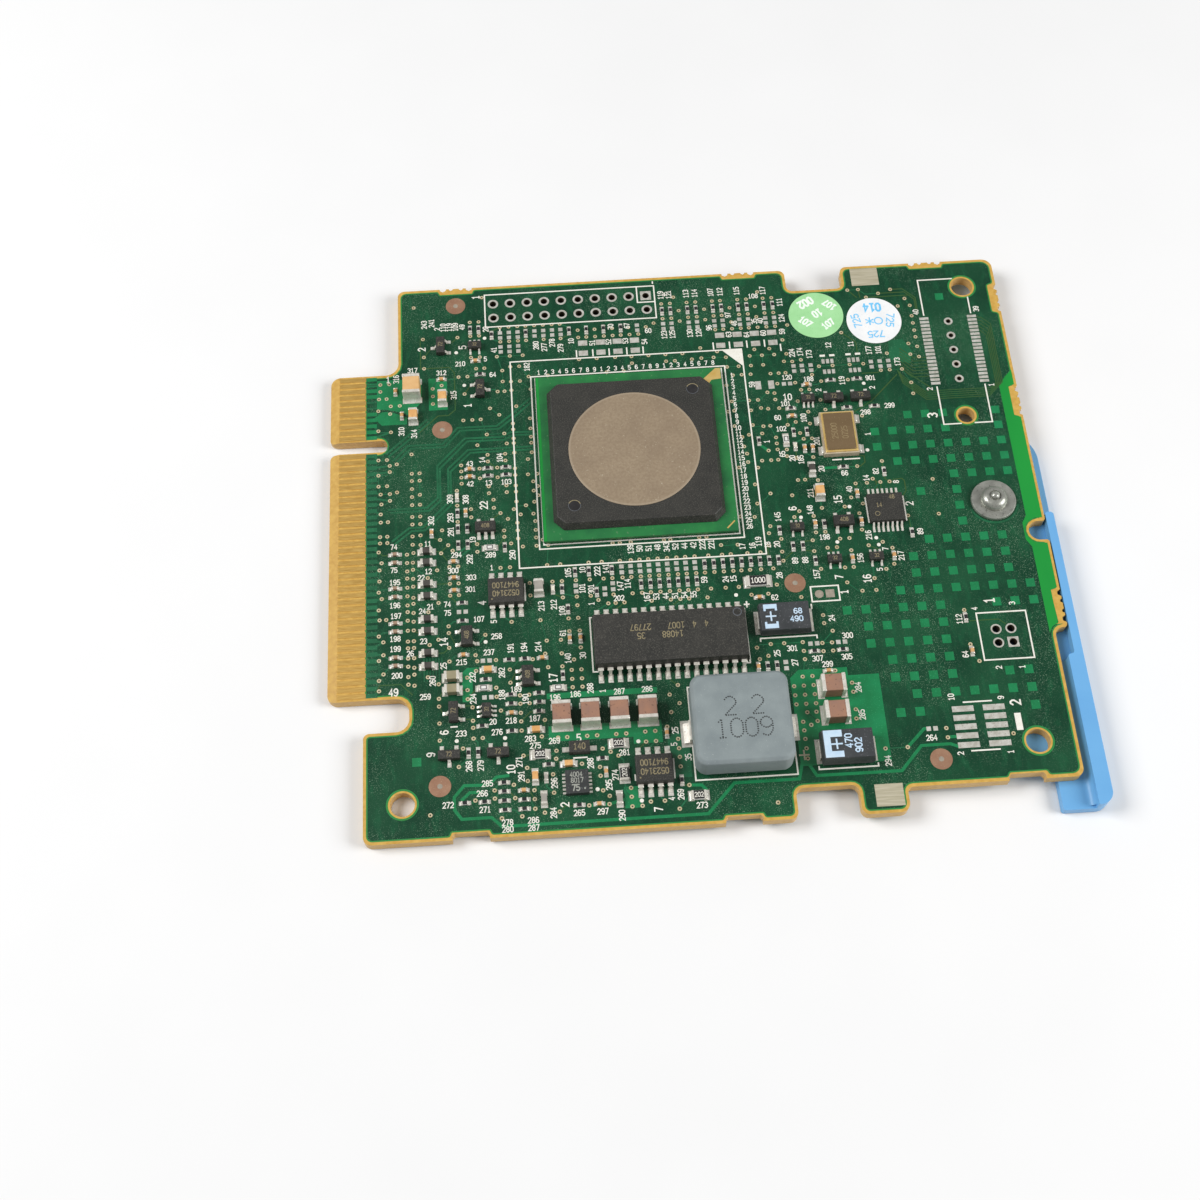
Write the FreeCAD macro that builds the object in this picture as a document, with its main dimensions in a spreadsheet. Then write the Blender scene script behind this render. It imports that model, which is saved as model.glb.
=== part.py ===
"""Plug-in storage controller card with a swinging release lever.

Frame: the origin is on the centre line of the key slot, at the front edge of the contact
tongue and half way through the board. +X points away from the tongue, +Y towards the short
side of the key slot and +Z out of the face that carries the chips. Lengths are in mm.
"""
import FreeCAD, Part
import Sketcher
import math
import os

Vector = FreeCAD.Vector
Z_AXIS = Vector(0, 0, 1)

doc = FreeCAD.newDocument("storage_controller_card")

# ---------------------------------------------------------------- driving dimensions

DIMENSIONS = {
    # board outline
    "board_thickness": 1.57,
    "board_top_edge": 27.0,
    "board_right_edge": 99.35,
    "board_lower_right_edge": 97.55,
    "board_bottom_edge": -59.0,
    "board_right_bottom_edge": -55.7,
    "tongue_short_end": 12.1,
    "tongue_long_end": -39.15,
    "tongue_bevel_length": 1.3,
    "tongue_bevel_depth": 0.45,
    "shoulder_left_edge": 9.85,
    "key_slot_half_width": 0.95,
    "key_slot_depth": 8.35,
    "corner_radius": 1.0,
    # edge contacts
    "contact_pitch": 1.0,
    "contact_width": 0.7,
    "contact_thickness": 0.05,
    "contact_start": 1.35,
    "contact_end": 5.15,
    "contact_first_offset": 1.5,
    # drilled holes
    "header_pitch": 2.54,
    "header_hole_radius": 0.5,
    "socket_hole_radius": 0.34,
    "socket_peg_radius": 1.6,
    "socket_small_peg_radius": 1.2,
    "standoff_hole_radius": 1.6,
    "jumper_pitch": 2.0,
    "jumper_hole_radius": 0.52,
    "rivet_hole_radius": 1.65,
    # controller package
    "controller_x": 43.2,
    "controller_y": -4.0,
    "substrate_side": 27.0,
    "substrate_height": 0.56,
    "ball_height": 0.5,
    "ball_radius": 0.3,
    "ball_pitch": 1.0,
    "cap_side": 24.0,
    "cap_corner": 1.45,
    "cap_height": 1.15,
    "cap_draft": 28.0,
    "slug_radius": 9.3,
    "slug_depth": 0.3,
    "slug_proud": 0.02,
    # thirty-two lead memory package
    "memory_length": 20.6,
    "memory_width": 7.5,
    "memory_bottom": 0.15,
    "memory_middle": 1.3,
    "memory_top": 2.45,
    "memory_reach": 1.4,
    "memory_foot": 0.75,
    "memory_lead_width": 0.42,
    "memory_lead_thickness": 0.28,
    # eight lead packages
    "eight_length": 4.9,
    "eight_width": 3.9,
    "eight_bottom": 0.15,
    "eight_middle": 0.9,
    "eight_top": 1.65,
    "eight_reach": 1.05,
    "eight_foot": 0.55,
    "eight_lead_width": 0.42,
    "eight_lead_thickness": 0.22,
    # fourteen lead package
    "logic_length": 5.0,
    "logic_width": 4.4,
    "logic_bottom": 0.1,
    "logic_middle": 0.55,
    "logic_top": 1.05,
    "logic_reach": 1.0,
    "logic_foot": 0.55,
    "logic_lead_width": 0.26,
    "logic_lead_thickness": 0.15,
    # three lead transistors
    "transistor_length": 2.9,
    "transistor_width": 1.3,
    "transistor_bottom": 0.08,
    "transistor_middle": 0.55,
    "transistor_top": 1.0,
    "transistor_reach": 0.6,
    "transistor_foot": 0.34,
    "transistor_lead_width": 0.42,
    "transistor_lead_thickness": 0.14,
    # four and five lead regulators
    "regulator_length": 2.9,
    "regulator_width": 1.6,
    "regulator_bottom": 0.08,
    "regulator_middle": 0.6,
    "regulator_top": 1.1,
    "regulator_reach": 0.6,
    "regulator_foot": 0.34,
    "regulator_lead_width": 0.42,
    "regulator_lead_thickness": 0.14,
    # small logic gates
    "gate_length": 2.0,
    "gate_width": 1.25,
    "gate_bottom": 0.06,
    "gate_middle": 0.45,
    "gate_top": 0.85,
    "gate_reach": 0.45,
    "gate_foot": 0.26,
    "gate_lead_width": 0.26,
    "gate_lead_thickness": 0.12,
    "mould_draft": 8.0,
    # leadless power controller
    "leadless_length": 3.0,
    "leadless_width": 3.2,
    "leadless_height": 0.9,
    "land_length": 0.4,
    "land_width": 0.28,
    "land_height": 0.12,
    # flat diode
    "diode_length": 2.7,
    "diode_width": 1.6,
    "diode_height": 1.1,
    "diode_strap_width": 0.6,
    "diode_strap_height": 0.15,
    "diode_strap_reach": 0.55,
    # power inductor
    "inductor_length": 12.7,
    "inductor_width": 12.4,
    "inductor_bottom": 0.3,
    "inductor_top": 5.2,
    "inductor_corner": 1.5,
    "inductor_top_bevel": 0.45,
    "inductor_under_chamfer": 0.9,
    "inductor_strap_width": 2.8,
    "inductor_strap_thickness": 0.3,
    "inductor_strap_rise": 1.5,
    "inductor_strap_tuck": 1.9,
    "inductor_strap_reach": 1.0,
    # moulded tantalum capacitors
    "tantalum_length": 6.9,
    "tantalum_width": 4.3,
    "tantalum_bottom": 0.15,
    "tantalum_middle": 1.3,
    "tantalum_top": 2.7,
    "tantalum_strap_width": 2.5,
    "tantalum_strap_thickness": 0.15,
    "tantalum_strap_rise": 1.2,
    "tantalum_strap_tuck": 1.0,
    "low_tantalum_length": 6.9,
    "low_tantalum_width": 4.3,
    "low_tantalum_bottom": 0.15,
    "low_tantalum_middle": 0.95,
    "low_tantalum_top": 1.95,
    "low_tantalum_strap_width": 2.5,
    "low_tantalum_strap_thickness": 0.15,
    "low_tantalum_strap_rise": 0.9,
    "low_tantalum_strap_tuck": 1.0,
    # ceramic oscillator
    "oscillator_length": 7.0,
    "oscillator_width": 5.0,
    "oscillator_base_height": 1.0,
    "oscillator_lid_length": 6.6,
    "oscillator_lid_width": 4.6,
    "oscillator_lid_height": 0.4,
    # chip capacitors, chip resistors and beads: length, width, height, end band
    "bulk_length": 3.2,
    "bulk_width": 2.5,
    "bulk_height": 2.4,
    "bulk_band": 0.5,
    "medium_length": 2.0,
    "medium_width": 1.25,
    "medium_height": 1.2,
    "small_length": 1.6,
    "small_width": 0.8,
    "small_height": 0.75,
    "tiny_length": 1.0,
    "tiny_width": 0.5,
    "tiny_height": 0.5,
    "sense_length": 3.2,
    "sense_width": 1.6,
    "sense_height": 0.6,
    "sense_band": 0.5,
    "medium_resistor_height": 0.5,
    "small_resistor_height": 0.45,
    "tiny_resistor_height": 0.35,
    "bead_length": 1.7,
    "bead_width": 0.9,
    "bead_height": 0.8,
    "band_step": 0.04,
    # round paper labels
    "label_radius": 4.05,
    "label_thickness": 0.1,
    # release lever and its rivet
    "pivot_x": 92.66,
    "pivot_y": -14.69,
    "lever_gap": 0.05,
    "lever_thickness": 1.4,
    "lever_outer_edge": 100.7,
    "lever_inner_edge": 88.5,
    "lever_top_end": -2.5,
    "lever_bottom_end": -59.6,
    "lever_tab_inner_edge": 94.45,
    "lever_step_y": -54.3,
    "lever_rib_top_end": -16.9,
    "lever_thin_rib_edge": 99.55,
    "lever_thick_rib_edge": 98.65,
    "lever_rib_step": -38.5,
    "lever_rib_fillet": 1.05,
    "lever_hole_radius": 1.65,
    "lever_recess_radius": 3.1,
    "lever_recess_depth": 0.8,
    "rivet_shank_radius": 1.6,
    "rivet_head_radius": 2.95,
    "rivet_head_height": 0.65,
    "rivet_bulb_radius": 1.9,
    "rivet_bulb_height": 1.2,
    "washer_radius": 3.15,
    "washer_thickness": 0.55,
    "mandrel_radius": 0.7,
    "mandrel_height": 0.35,
}

sizes = doc.addObject("Spreadsheet::Sheet", "sizes")
for row, (alias, value) in enumerate(DIMENSIONS.items(), start=1):
    sizes.set(f"A{row}", alias)
    sizes.set(f"B{row}", str(value))
    sizes.setAlias(f"B{row}", alias)
doc.recompute()


def size(alias):
    """Value of one named cell."""
    return float(sizes.get(alias))


BOARD_TOP = size("board_thickness") / 2

# ---------------------------------------------------------------- building helpers


def origin_plane(body, role):
    return next(f for f in body.Origin.OriginFeatures if f.Role == role)


def new_body(name):
    body = doc.addObject("PartDesign::Body", name)
    body.Label = name
    return body


def new_sketch(body, name, role="XY_Plane", height=0.0):
    """Empty sketch on one of the body's own origin planes, lifted by height."""
    sketch = body.newObject("Sketcher::SketchObject", name)
    sketch.AttachmentSupport = [(origin_plane(body, role), "")]
    sketch.MapMode = "FlatFace"
    if isinstance(height, str):
        sketch.setExpression("AttachmentOffset.Base.z", height)
    else:
        sketch.AttachmentOffset = FreeCAD.Placement(Vector(0, 0, height), FreeCAD.Rotation())
    return sketch


def add_lines(sketch, points):
    """Closed run of straight lines through the points."""
    corners = [Vector(x, y, 0) for x, y in points]
    for start, end in zip(corners, corners[1:] + corners[:1]):
        sketch.addGeometry(Part.LineSegment(start, end), False)


def add_rounded_outline(sketch, corners):
    """Closed outline through (x, y, radius) corners, each rounded by its own arc."""
    arcs = []
    count = len(corners)
    for index, (x, y, radius) in enumerate(corners):
        here = Vector(x, y, 0)
        back = Vector(*corners[index - 1][:2], 0) - here
        ahead = Vector(*corners[(index + 1) % count][:2], 0) - here
        half_angle = back.getAngle(ahead) / 2
        reach = radius / math.tan(half_angle)
        back.normalize()
        ahead.normalize()
        bisector = back + ahead
        bisector.normalize()
        nearest = radius / math.sin(half_angle) - radius
        arcs.append((here + back * reach, here + bisector * nearest, here + ahead * reach))
    for index, (start, middle, end) in enumerate(arcs):
        sketch.addGeometry(Part.Arc(start, middle, end), False)
        following = arcs[(index + 1) % count][0]
        if (following - end).Length > 1e-6:
            sketch.addGeometry(Part.LineSegment(end, following), False)


def add_circle(sketch, x, y, radius):
    """Circle of a fixed centre whose radius is a number or a sheet expression."""
    value = radius if not isinstance(radius, str) else size(radius.split(".")[1])
    index = sketch.addGeometry(Part.Circle(Vector(x, y, 0), Z_AXIS, value), False)
    if isinstance(radius, str):
        constraint = sketch.addConstraint(Sketcher.Constraint("Radius", index, value))
        sketch.setExpression(f"Constraints[{constraint}]", radius)


def polygon(sides, radius, x=0.0, y=0.0):
    """Corners of an even-sided polygon whose flats touch a circle of the radius."""
    step = 2 * math.pi / sides
    reach = radius / math.cos(step / 2)
    angles = [(index + 0.5) * step for index in range(sides)]
    return [(x + reach * math.cos(angle), y + reach * math.sin(angle)) for angle in angles]


def add_rectangle(sketch, length, width, x=0.0, y=0.0):
    """Rectangle centred on (x, y) whose two sides are bound to sheet expressions."""
    half_x = size(length.split(".")[1]) / 2
    half_y = size(width.split(".")[1]) / 2
    first = sketch.GeometryCount
    add_lines(sketch, [
        (x - half_x, y - half_y), (x + half_x, y - half_y),
        (x + half_x, y + half_y), (x - half_x, y + half_y),
    ])
    for side in range(4):
        sketch.addConstraint(Sketcher.Constraint(
            "Coincident", first + side, 2, first + (side + 1) % 4, 1))
    sketch.addConstraint(Sketcher.Constraint("Horizontal", first))
    sketch.addConstraint(Sketcher.Constraint("Horizontal", first + 2))
    sketch.addConstraint(Sketcher.Constraint("Vertical", first + 1))
    sketch.addConstraint(Sketcher.Constraint("Vertical", first + 3))
    if x == 0 and y == 0:
        sketch.addConstraint(Sketcher.Constraint("Symmetric", first, 1, first + 2, 1, -1, 1))
    along = sketch.addConstraint(Sketcher.Constraint("Distance", first, 2 * half_x))
    across = sketch.addConstraint(Sketcher.Constraint("Distance", first + 1, 2 * half_y))
    sketch.setExpression(f"Constraints[{along}]", length)
    sketch.setExpression(f"Constraints[{across}]", width)


def pad(body, sketch, length, name="pad", reverse=False, symmetric=False, draft=None):
    feature = body.newObject("PartDesign::Pad", name)
    feature.Profile = sketch
    if symmetric:
        feature.SideType = "Symmetric"
    feature.Reversed = reverse
    if isinstance(length, str):
        feature.setExpression("Length", length)
    else:
        feature.Length = length
    if draft:
        feature.setExpression("TaperAngle", f"-{draft}")
    sketch.Visibility = False
    return feature


def pocket(body, sketch, depth=None, name="pocket", reverse=False):
    """Pocket to a depth, or right through both ways when no depth is given."""
    doc.recompute()
    before = body.Shape.Volume
    feature = body.newObject("PartDesign::Pocket", name)
    feature.Profile = sketch
    if depth is None:
        feature.SideType = "Symmetric"
        feature.Type = "ThroughAll"
    else:
        feature.setExpression("Length", depth)
    feature.Reversed = reverse
    doc.recompute()
    if body.Shape.Volume > before - 1e-6:
        raise RuntimeError(f"{name} of {body.Label} removes nothing")
    return feature


def edges_where(shape, test):
    """Names of the edges whose every vertex passes the test."""
    names = []
    for index, edge in enumerate(shape.Edges, start=1):
        if all(test(vertex.Point) for vertex in edge.Vertexes):
            names.append(f"Edge{index}")
    return names


def slab(name, length, width, height, bottom=0.0):
    """Plain block centred on its own origin, its three sides read from the sheet."""
    body = new_body(name)
    sketch = new_sketch(body, f"{name}_base", height=bottom)
    add_rectangle(sketch, f"sizes.{length}", f"sizes.{width}")
    pad(body, sketch, f"sizes.{height}", f"{name}_pad")
    return body


def banded_chip(name, prefix):
    """Chip part with a ceramic core and two metal end bands that stand slightly proud."""
    body = new_body(name)
    core = new_sketch(body, f"{name}_core", height="sizes.band_step")
    step = size("band_step")
    core_length = size(f"{prefix}_length") - 2 * size(f"{prefix}_band")
    core_width = size(f"{prefix}_width") - 2 * step
    add_lines(core, [
        (-core_length / 2 - step, -core_width / 2), (core_length / 2 + step, -core_width / 2),
        (core_length / 2 + step, core_width / 2), (-core_length / 2 - step, core_width / 2),
    ])
    pad(body, core, f"sizes.{prefix}_height - 2 * sizes.band_step", f"{name}_core_pad")
    ends = new_sketch(body, f"{name}_ends")
    for side in (-1, 1):
        inner = side * core_length / 2
        outer = side * size(f"{prefix}_length") / 2
        half_width = size(f"{prefix}_width") / 2
        add_lines(ends, [
            (inner, -half_width), (outer, -half_width), (outer, half_width), (inner, half_width),
        ])
    pad(body, ends, f"sizes.{prefix}_height", f"{name}_end_pad")
    return body


def moulded_body(name, prefix):
    """Moulded package: both halves taper away from the parting plane at the leads."""
    body = new_body(name)
    upper = new_sketch(body, f"{name}_upper", height=f"sizes.{prefix}_middle")
    add_rectangle(upper, f"sizes.{prefix}_length", f"sizes.{prefix}_width")
    pad(body, upper, f"sizes.{prefix}_top - sizes.{prefix}_middle", f"{name}_upper_half",
        draft="sizes.mould_draft")
    lower = new_sketch(body, f"{name}_lower", height=f"sizes.{prefix}_middle")
    add_rectangle(lower, f"sizes.{prefix}_length", f"sizes.{prefix}_width")
    pad(body, lower, f"sizes.{prefix}_middle - sizes.{prefix}_bottom", f"{name}_lower_half",
        reverse=True, draft="sizes.mould_draft")
    return body


def gull_wing_lead(name, prefix, small):
    """Bent lead: out of the parting plane at x = 0, down, and flat along the board.

    Small packages have a lead so short that it slopes straight down to its foot.
    """
    thickness = size(f"{prefix}_lead_thickness")
    reach = size(f"{prefix}_reach")
    heel = reach - size(f"{prefix}_foot")
    knee = 0.45 * heel
    middle = size(f"{prefix}_middle")
    low = middle - thickness / 2
    high = middle + thickness / 2
    if small:
        upper_run = [(0, high)]
        lower_run = [(0, low)]
    else:
        upper_run = [(knee + thickness / 2, high), (0, high)]
        lower_run = [(0, low), (knee - thickness / 2, low)]
    foot = [(heel - thickness / 2, 0), (reach, 0), (reach, thickness), (heel + thickness / 2, thickness)]
    body = new_body(name)
    profile = new_sketch(body, f"{name}_profile", "XZ_Plane")
    add_lines(profile, lower_run + foot + upper_run)
    pad(body, profile, f"sizes.{prefix}_lead_width", f"{name}_pad", symmetric=True)
    return body


def folded_strap(name, prefix, reach=0.0):
    """Flat terminal: up the end wall at x = 0 and folded flat under the body."""
    thickness = size(f"{prefix}_strap_thickness")
    rise = size(f"{prefix}_strap_rise")
    tuck = size(f"{prefix}_strap_tuck")
    body = new_body(name)
    profile = new_sketch(body, f"{name}_profile", "XZ_Plane")
    points = [(-tuck, 0), (thickness + reach, 0)]
    if reach:
        points += [(thickness + reach, thickness), (thickness, thickness)]
    points += [(thickness, rise), (0, rise), (0, thickness), (-tuck, thickness)]
    add_lines(profile, points)
    pad(body, profile, f"sizes.{prefix}_strap_width", f"{name}_pad", symmetric=True)
    return body


nodes = {}


def place(x, y, turn=0.0, height=0.0):
    """Placement on the component face, turned about the board's normal."""
    return FreeCAD.Placement(Vector(x, y, BOARD_TOP + height), FreeCAD.Rotation(Z_AXIS, turn))


def keep(label, piece):
    piece.Label = label
    nodes[label] = piece


def group(label, batches):
    """One sub-part made of copies: each batch is a master piece and its placements."""
    links = []
    for index, (master, places) in enumerate(batches):
        link = doc.addObject("App::Link", f"{label}_copies_{index}")
        link.LinkedObject = master
        link.ShowElement = False
        link.ElementCount = len(places)
        link.PlacementList = places
        links.append(link)
        master.Visibility = False
    compound = doc.addObject("Part::Compound", label)
    compound.Links = links
    keep(label, compound)


def lead_places(chip, prefix, front, back):
    """Leads of one package: offsets along its front side and along its back side."""
    half = size(f"{prefix}_width") / 2
    base = place(*chip)
    places = []
    for offsets, side in ((front, -1), (back, 1)):
        for offset in offsets:
            step = FreeCAD.Placement(Vector(offset, side * half, 0), FreeCAD.Rotation(Z_AXIS, side * 90))
            places.append(base.multiply(step))
    return places


def end_places(chip, length):
    """Terminals at both ends of a two-terminal part."""
    base = place(*chip)
    places = []
    for turn in (0, 180):
        spin = FreeCAD.Placement(Vector(), FreeCAD.Rotation(Z_AXIS, turn))
        slide = FreeCAD.Placement(Vector(size(length) / 2, 0, 0), FreeCAD.Rotation())
        places.append(base.multiply(spin).multiply(slide))
    return places


def centred_row(count, pitch):
    return [(index - (count - 1) / 2) * pitch for index in range(count)]


def upright(points):
    return [place(x, y, 90) for x, y in points]


def flat(points):
    return [place(x, y) for x, y in points]


def run(x, y, count, pitch):
    """Row of parts along the board at an even pitch."""
    return [(x + index * pitch, y) for index in range(count)]


# ---------------------------------------------------------------- printed circuit board

TOP = size("board_top_edge")
RIGHT = size("board_right_edge")
BOTTOM = size("board_bottom_edge")
ROUND = size("corner_radius")
SLOT = size("key_slot_half_width")
SLOT_END = size("key_slot_depth")

board_outline = [
    # tongue, short side of the key slot, and the shoulder above it
    (0, size("tongue_short_end"), 1.1),
    (size("shoulder_left_edge"), size("tongue_short_end"), 1.9),
    (size("shoulder_left_edge"), TOP, ROUND),
    # notch in the top edge
    (68.0, TOP, ROUND), (68.0, 23.1, ROUND), (76.4, 23.1, ROUND), (76.4, TOP, ROUND),
    (RIGHT, TOP, 1.5),
    # half-round finger notch over the lever
    (RIGHT, -18.25, 0.4), (96.8, -18.25, 1.47), (96.8, -21.2, 1.47), (RIGHT, -21.2, 0.4),
    # step in the right edge that clears the lever's thick rib
    (RIGHT, -34.6, 0.5),
    (size("board_lower_right_edge"), -34.6, 1.2),
    (size("board_lower_right_edge"), size("board_right_bottom_edge"), 1.2),
    # grounding tab and the notch beside it
    (74.6, size("board_right_bottom_edge"), 0.7), (74.6, BOTTOM, 1.3), (68.4, BOTTOM, ROUND),
    (68.4, -54.95, ROUND), (60.25, -54.95, ROUND), (60.25, BOTTOM, ROUND),
    # lower left wing and the retaining notch under the tongue
    (4.8, BOTTOM, 1.1), (4.8, -43.85, 0.8), (10.85, -43.85, 1.8),
    (10.85, size("tongue_long_end"), 1.8),
    (0, size("tongue_long_end"), 1.2),
    # key slot
    (0, -SLOT, 0.7), (SLOT_END, -SLOT, SLOT - 0.001), (SLOT_END, SLOT, SLOT - 0.001),
    (0, SLOT, 0.7),
]

board = new_body("printed_circuit_board")
outline = new_sketch(board, "board_outline")
add_rounded_outline(outline, board_outline)
pad(board, outline, "sizes.board_thickness", "board_pad", symmetric=True)

# Break-off tabs: centre of each along its edge, with drilled half-round bites.
TOP_TABS = (18.55, 61.0, 89.3)
RIGHT_TABS = (19.8, 1.6, -31.4)
BOTTOM_TABS = (18.5, 53.35)
LOW_RIGHT_TAB = 90.2
BITES = ((-1.95, 0.45), (-0.75, 0.28), (0.75, 0.28), (1.95, 0.45))
TAB_HALF = 2.4
TAB_DEPTH = 0.85

bites = new_sketch(board, "break_off_bites")
for offset, radius in BITES:
    for centre in TOP_TABS:
        add_lines(bites, polygon(6, radius, centre + offset, TOP))
    for centre in RIGHT_TABS:
        add_lines(bites, polygon(6, radius, RIGHT, centre + offset))
pocket(board, bites, name="break_off_bite_pocket")

recesses = new_sketch(board, "break_off_recesses")
for centre, edge in [(x, BOTTOM) for x in BOTTOM_TABS] + [(LOW_RIGHT_TAB, size("board_right_bottom_edge"))]:
    floor = edge + TAB_DEPTH
    add_lines(recesses, [
        (centre - TAB_HALF, edge - 1), (centre + TAB_HALF, edge - 1),
        (centre + TAB_HALF, floor - 0.3), (centre + TAB_HALF - 0.3, floor),
        (centre - TAB_HALF + 0.3, floor), (centre - TAB_HALF, floor - 0.3),
    ])
pocket(board, recesses, name="break_off_recess_pocket")

HEADER_X = 24.03
HEADER_ROWS = (23.78, 21.24)
SOCKET_X = 91.25
SOCKET_FIRST_Y = 5.9
JUMPER = (89.7, -36.3)
SOCKET_PEGS = ((94.25, 22.17, "socket_peg_radius"), (91.25, -0.4, "socket_small_peg_radius"))
STANDOFFS = ((9.85, -53.87), (92.45, -50.5))

drills = new_sketch(board, "drilled_holes")
header_pitch = size("header_pitch")
for row_y in HEADER_ROWS:
    for x, y in run(HEADER_X, row_y, 10, header_pitch):
        add_lines(drills, polygon(8, size("header_hole_radius"), x, y))
for index in range(5):
    y = SOCKET_FIRST_Y + index * header_pitch
    add_lines(drills, polygon(8, size("socket_hole_radius"), SOCKET_X, y))
for column in range(2):
    for row in range(2):
        x = JUMPER[0] + column * size("jumper_pitch")
        y = JUMPER[1] + row * size("jumper_pitch")
        add_lines(drills, polygon(8, size("jumper_hole_radius"), x, y))
for x, y, radius in SOCKET_PEGS:
    add_circle(drills, x, y, f"sizes.{radius}")
for x, y in STANDOFFS:
    add_circle(drills, x, y, "sizes.standoff_hole_radius")
add_circle(drills, size("pivot_x"), size("pivot_y"), "sizes.rivet_hole_radius")
pocket(board, drills, name="drilled_hole_pocket")

# Bevels on both faces of the tongue, so that it guides itself into its socket.
bevels = new_sketch(board, "tongue_bevels", "XZ_Plane")
BEVEL = size("tongue_bevel_length")
LIP = BOARD_TOP - size("tongue_bevel_depth")
for face in (-1, 1):
    add_lines(bevels, [
        (-0.5, face * (BOARD_TOP + 0.2)), (BEVEL, face * (BOARD_TOP + 0.2)),
        (BEVEL, face * BOARD_TOP), (0, face * LIP), (-0.5, face * LIP),
    ])
pocket(board, bevels, name="tongue_bevel_pocket")
keep("printed_circuit_board", board)

# ---------------------------------------------------------------- edge contacts

CONTACTS_SHORT_SIDE = 11
CONTACTS_LONG_SIDE = 38

contact = new_body("contact_finger")
contact_plan = new_sketch(contact, "contact_plan")
half_contact = size("contact_width") / 2
add_lines(contact_plan, [
    (size("contact_start"), -half_contact), (size("contact_end"), -half_contact),
    (size("contact_end"), half_contact), (size("contact_start"), half_contact),
])
pad(contact, contact_plan, "sizes.contact_thickness", "contact_pad")

contact_rows = [size("contact_first_offset") + index for index in range(CONTACTS_SHORT_SIDE)]
contact_rows += [-size("contact_first_offset") - index for index in range(CONTACTS_LONG_SIDE)]
group("front_edge_contacts", [(contact, [place(0, y) for y in contact_rows])])
back_height = -size("board_thickness") - size("contact_thickness")
group("back_edge_contacts", [(contact, [place(0, y, 0, back_height) for y in contact_rows])])

# ---------------------------------------------------------------- controller package

CONTROLLER = (size("controller_x"), size("controller_y"))
SUBSTRATE_TOP = size("ball_height") + size("substrate_height")

ball = new_body("solder_ball")
ball_plan = new_sketch(ball, "ball_plan")
add_lines(ball_plan, polygon(4, size("ball_radius")))
pad(ball, ball_plan, "sizes.ball_height", "ball_pad")

BALLS_PER_SIDE = 26
ball_line = centred_row(BALLS_PER_SIDE, size("ball_pitch"))
ball_ring = [(x, y) for x in ball_line for y in ball_line
             if x in (ball_line[0], ball_line[-1]) or y in (ball_line[0], ball_line[-1])]
group("controller_solder_balls", [
    (ball, [place(CONTROLLER[0] + x, CONTROLLER[1] + y) for x, y in ball_ring]),
])

substrate = slab("controller_substrate", "substrate_side", "substrate_side", "substrate_height")
substrate.Placement = place(*CONTROLLER, 0, size("ball_height"))
keep("controller_substrate", substrate)

cap = new_body("controller_mould_cap")
cap_plan = new_sketch(cap, "cap_plan")
cap_half = size("cap_side") / 2
cap_flat = cap_half - size("cap_corner")
add_lines(cap_plan, [
    (-cap_flat, -cap_half), (cap_flat, -cap_half), (cap_half, -cap_flat), (cap_half, cap_flat),
    (cap_flat, cap_half), (-cap_flat, cap_half), (-cap_half, cap_flat), (-cap_half, -cap_flat),
])
pad(cap, cap_plan, "sizes.cap_height", "cap_pad", draft="sizes.cap_draft")
slug_seat = new_sketch(cap, "slug_seat", height="sizes.cap_height")
add_circle(slug_seat, 0, 0, "sizes.slug_radius")
pocket(cap, slug_seat, "sizes.slug_depth", "slug_seat_pocket")
cap.Placement = place(*CONTROLLER, 0, SUBSTRATE_TOP)
keep("controller_mould_cap", cap)

slug = doc.addObject("Part::Cylinder", "controller_heat_slug")
slug.setExpression("Radius", "sizes.slug_radius")
slug.setExpression("Height", "sizes.slug_depth + sizes.slug_proud")
slug.Placement = place(*CONTROLLER, 0, SUBSTRATE_TOP + size("cap_height") - size("slug_depth"))
keep("controller_heat_slug", slug)

# ---------------------------------------------------------------- leaded packages

# Each package: x, y and its turn. Front leads are on the local -Y side.
MEMORY_CHIP = (45.88, -33.3, 0)
EIGHT_LEAD_CHIPS = ((24.25, -24.8, 0), (42.35, -51.5, 0))
LOGIC_CHIP = (77.45, -15.1, 0)
TRANSISTORS = ((16.1, 16.4, 90), (21.7, 8.6, 270), (16.7, -41.7, 90), (16.0, -47.7, 180),
               (22.35, -47.7, 180), (72.5, 3.55, 180), (76.4, 3.55, 180))
FIVE_LEAD_REGULATORS = ((21.75, -14.4, 0), (26.65, -37.2, 270))
FOUR_LEAD_RESETS = ((18.75, -30.9, 90), (71.35, -16.75, 0))
SIX_LEAD_GATES = ((21.05, -41.7, 90),)
FIVE_LEAD_GATES = ((68.85, 3.7, 0), (64.85, -17.2, 180), (69.4, -22.5, 180), (75.15, -22.5, 180),
                   (21.1, 16.2, 180))


def leaded_group(name, prefix, layouts, small=True):
    """Bodies and leads of one package type: each layout is its chips and lead offsets."""
    body_master = moulded_body(f"{name}_body_master", prefix)
    lead_master = gull_wing_lead(f"{name}_lead_master", prefix, small)
    chips = [chip for batch, front, back in layouts for chip in batch]
    leads = [spot for batch, front, back in layouts for chip in batch
             for spot in lead_places(chip, prefix, front, back)]
    plural = "bodies" if len(chips) > 1 else "body"
    group(f"{name}_{plural}", [(body_master, [place(*chip) for chip in chips])])
    group(f"{name}_leads", [(lead_master, leads)])


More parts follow.
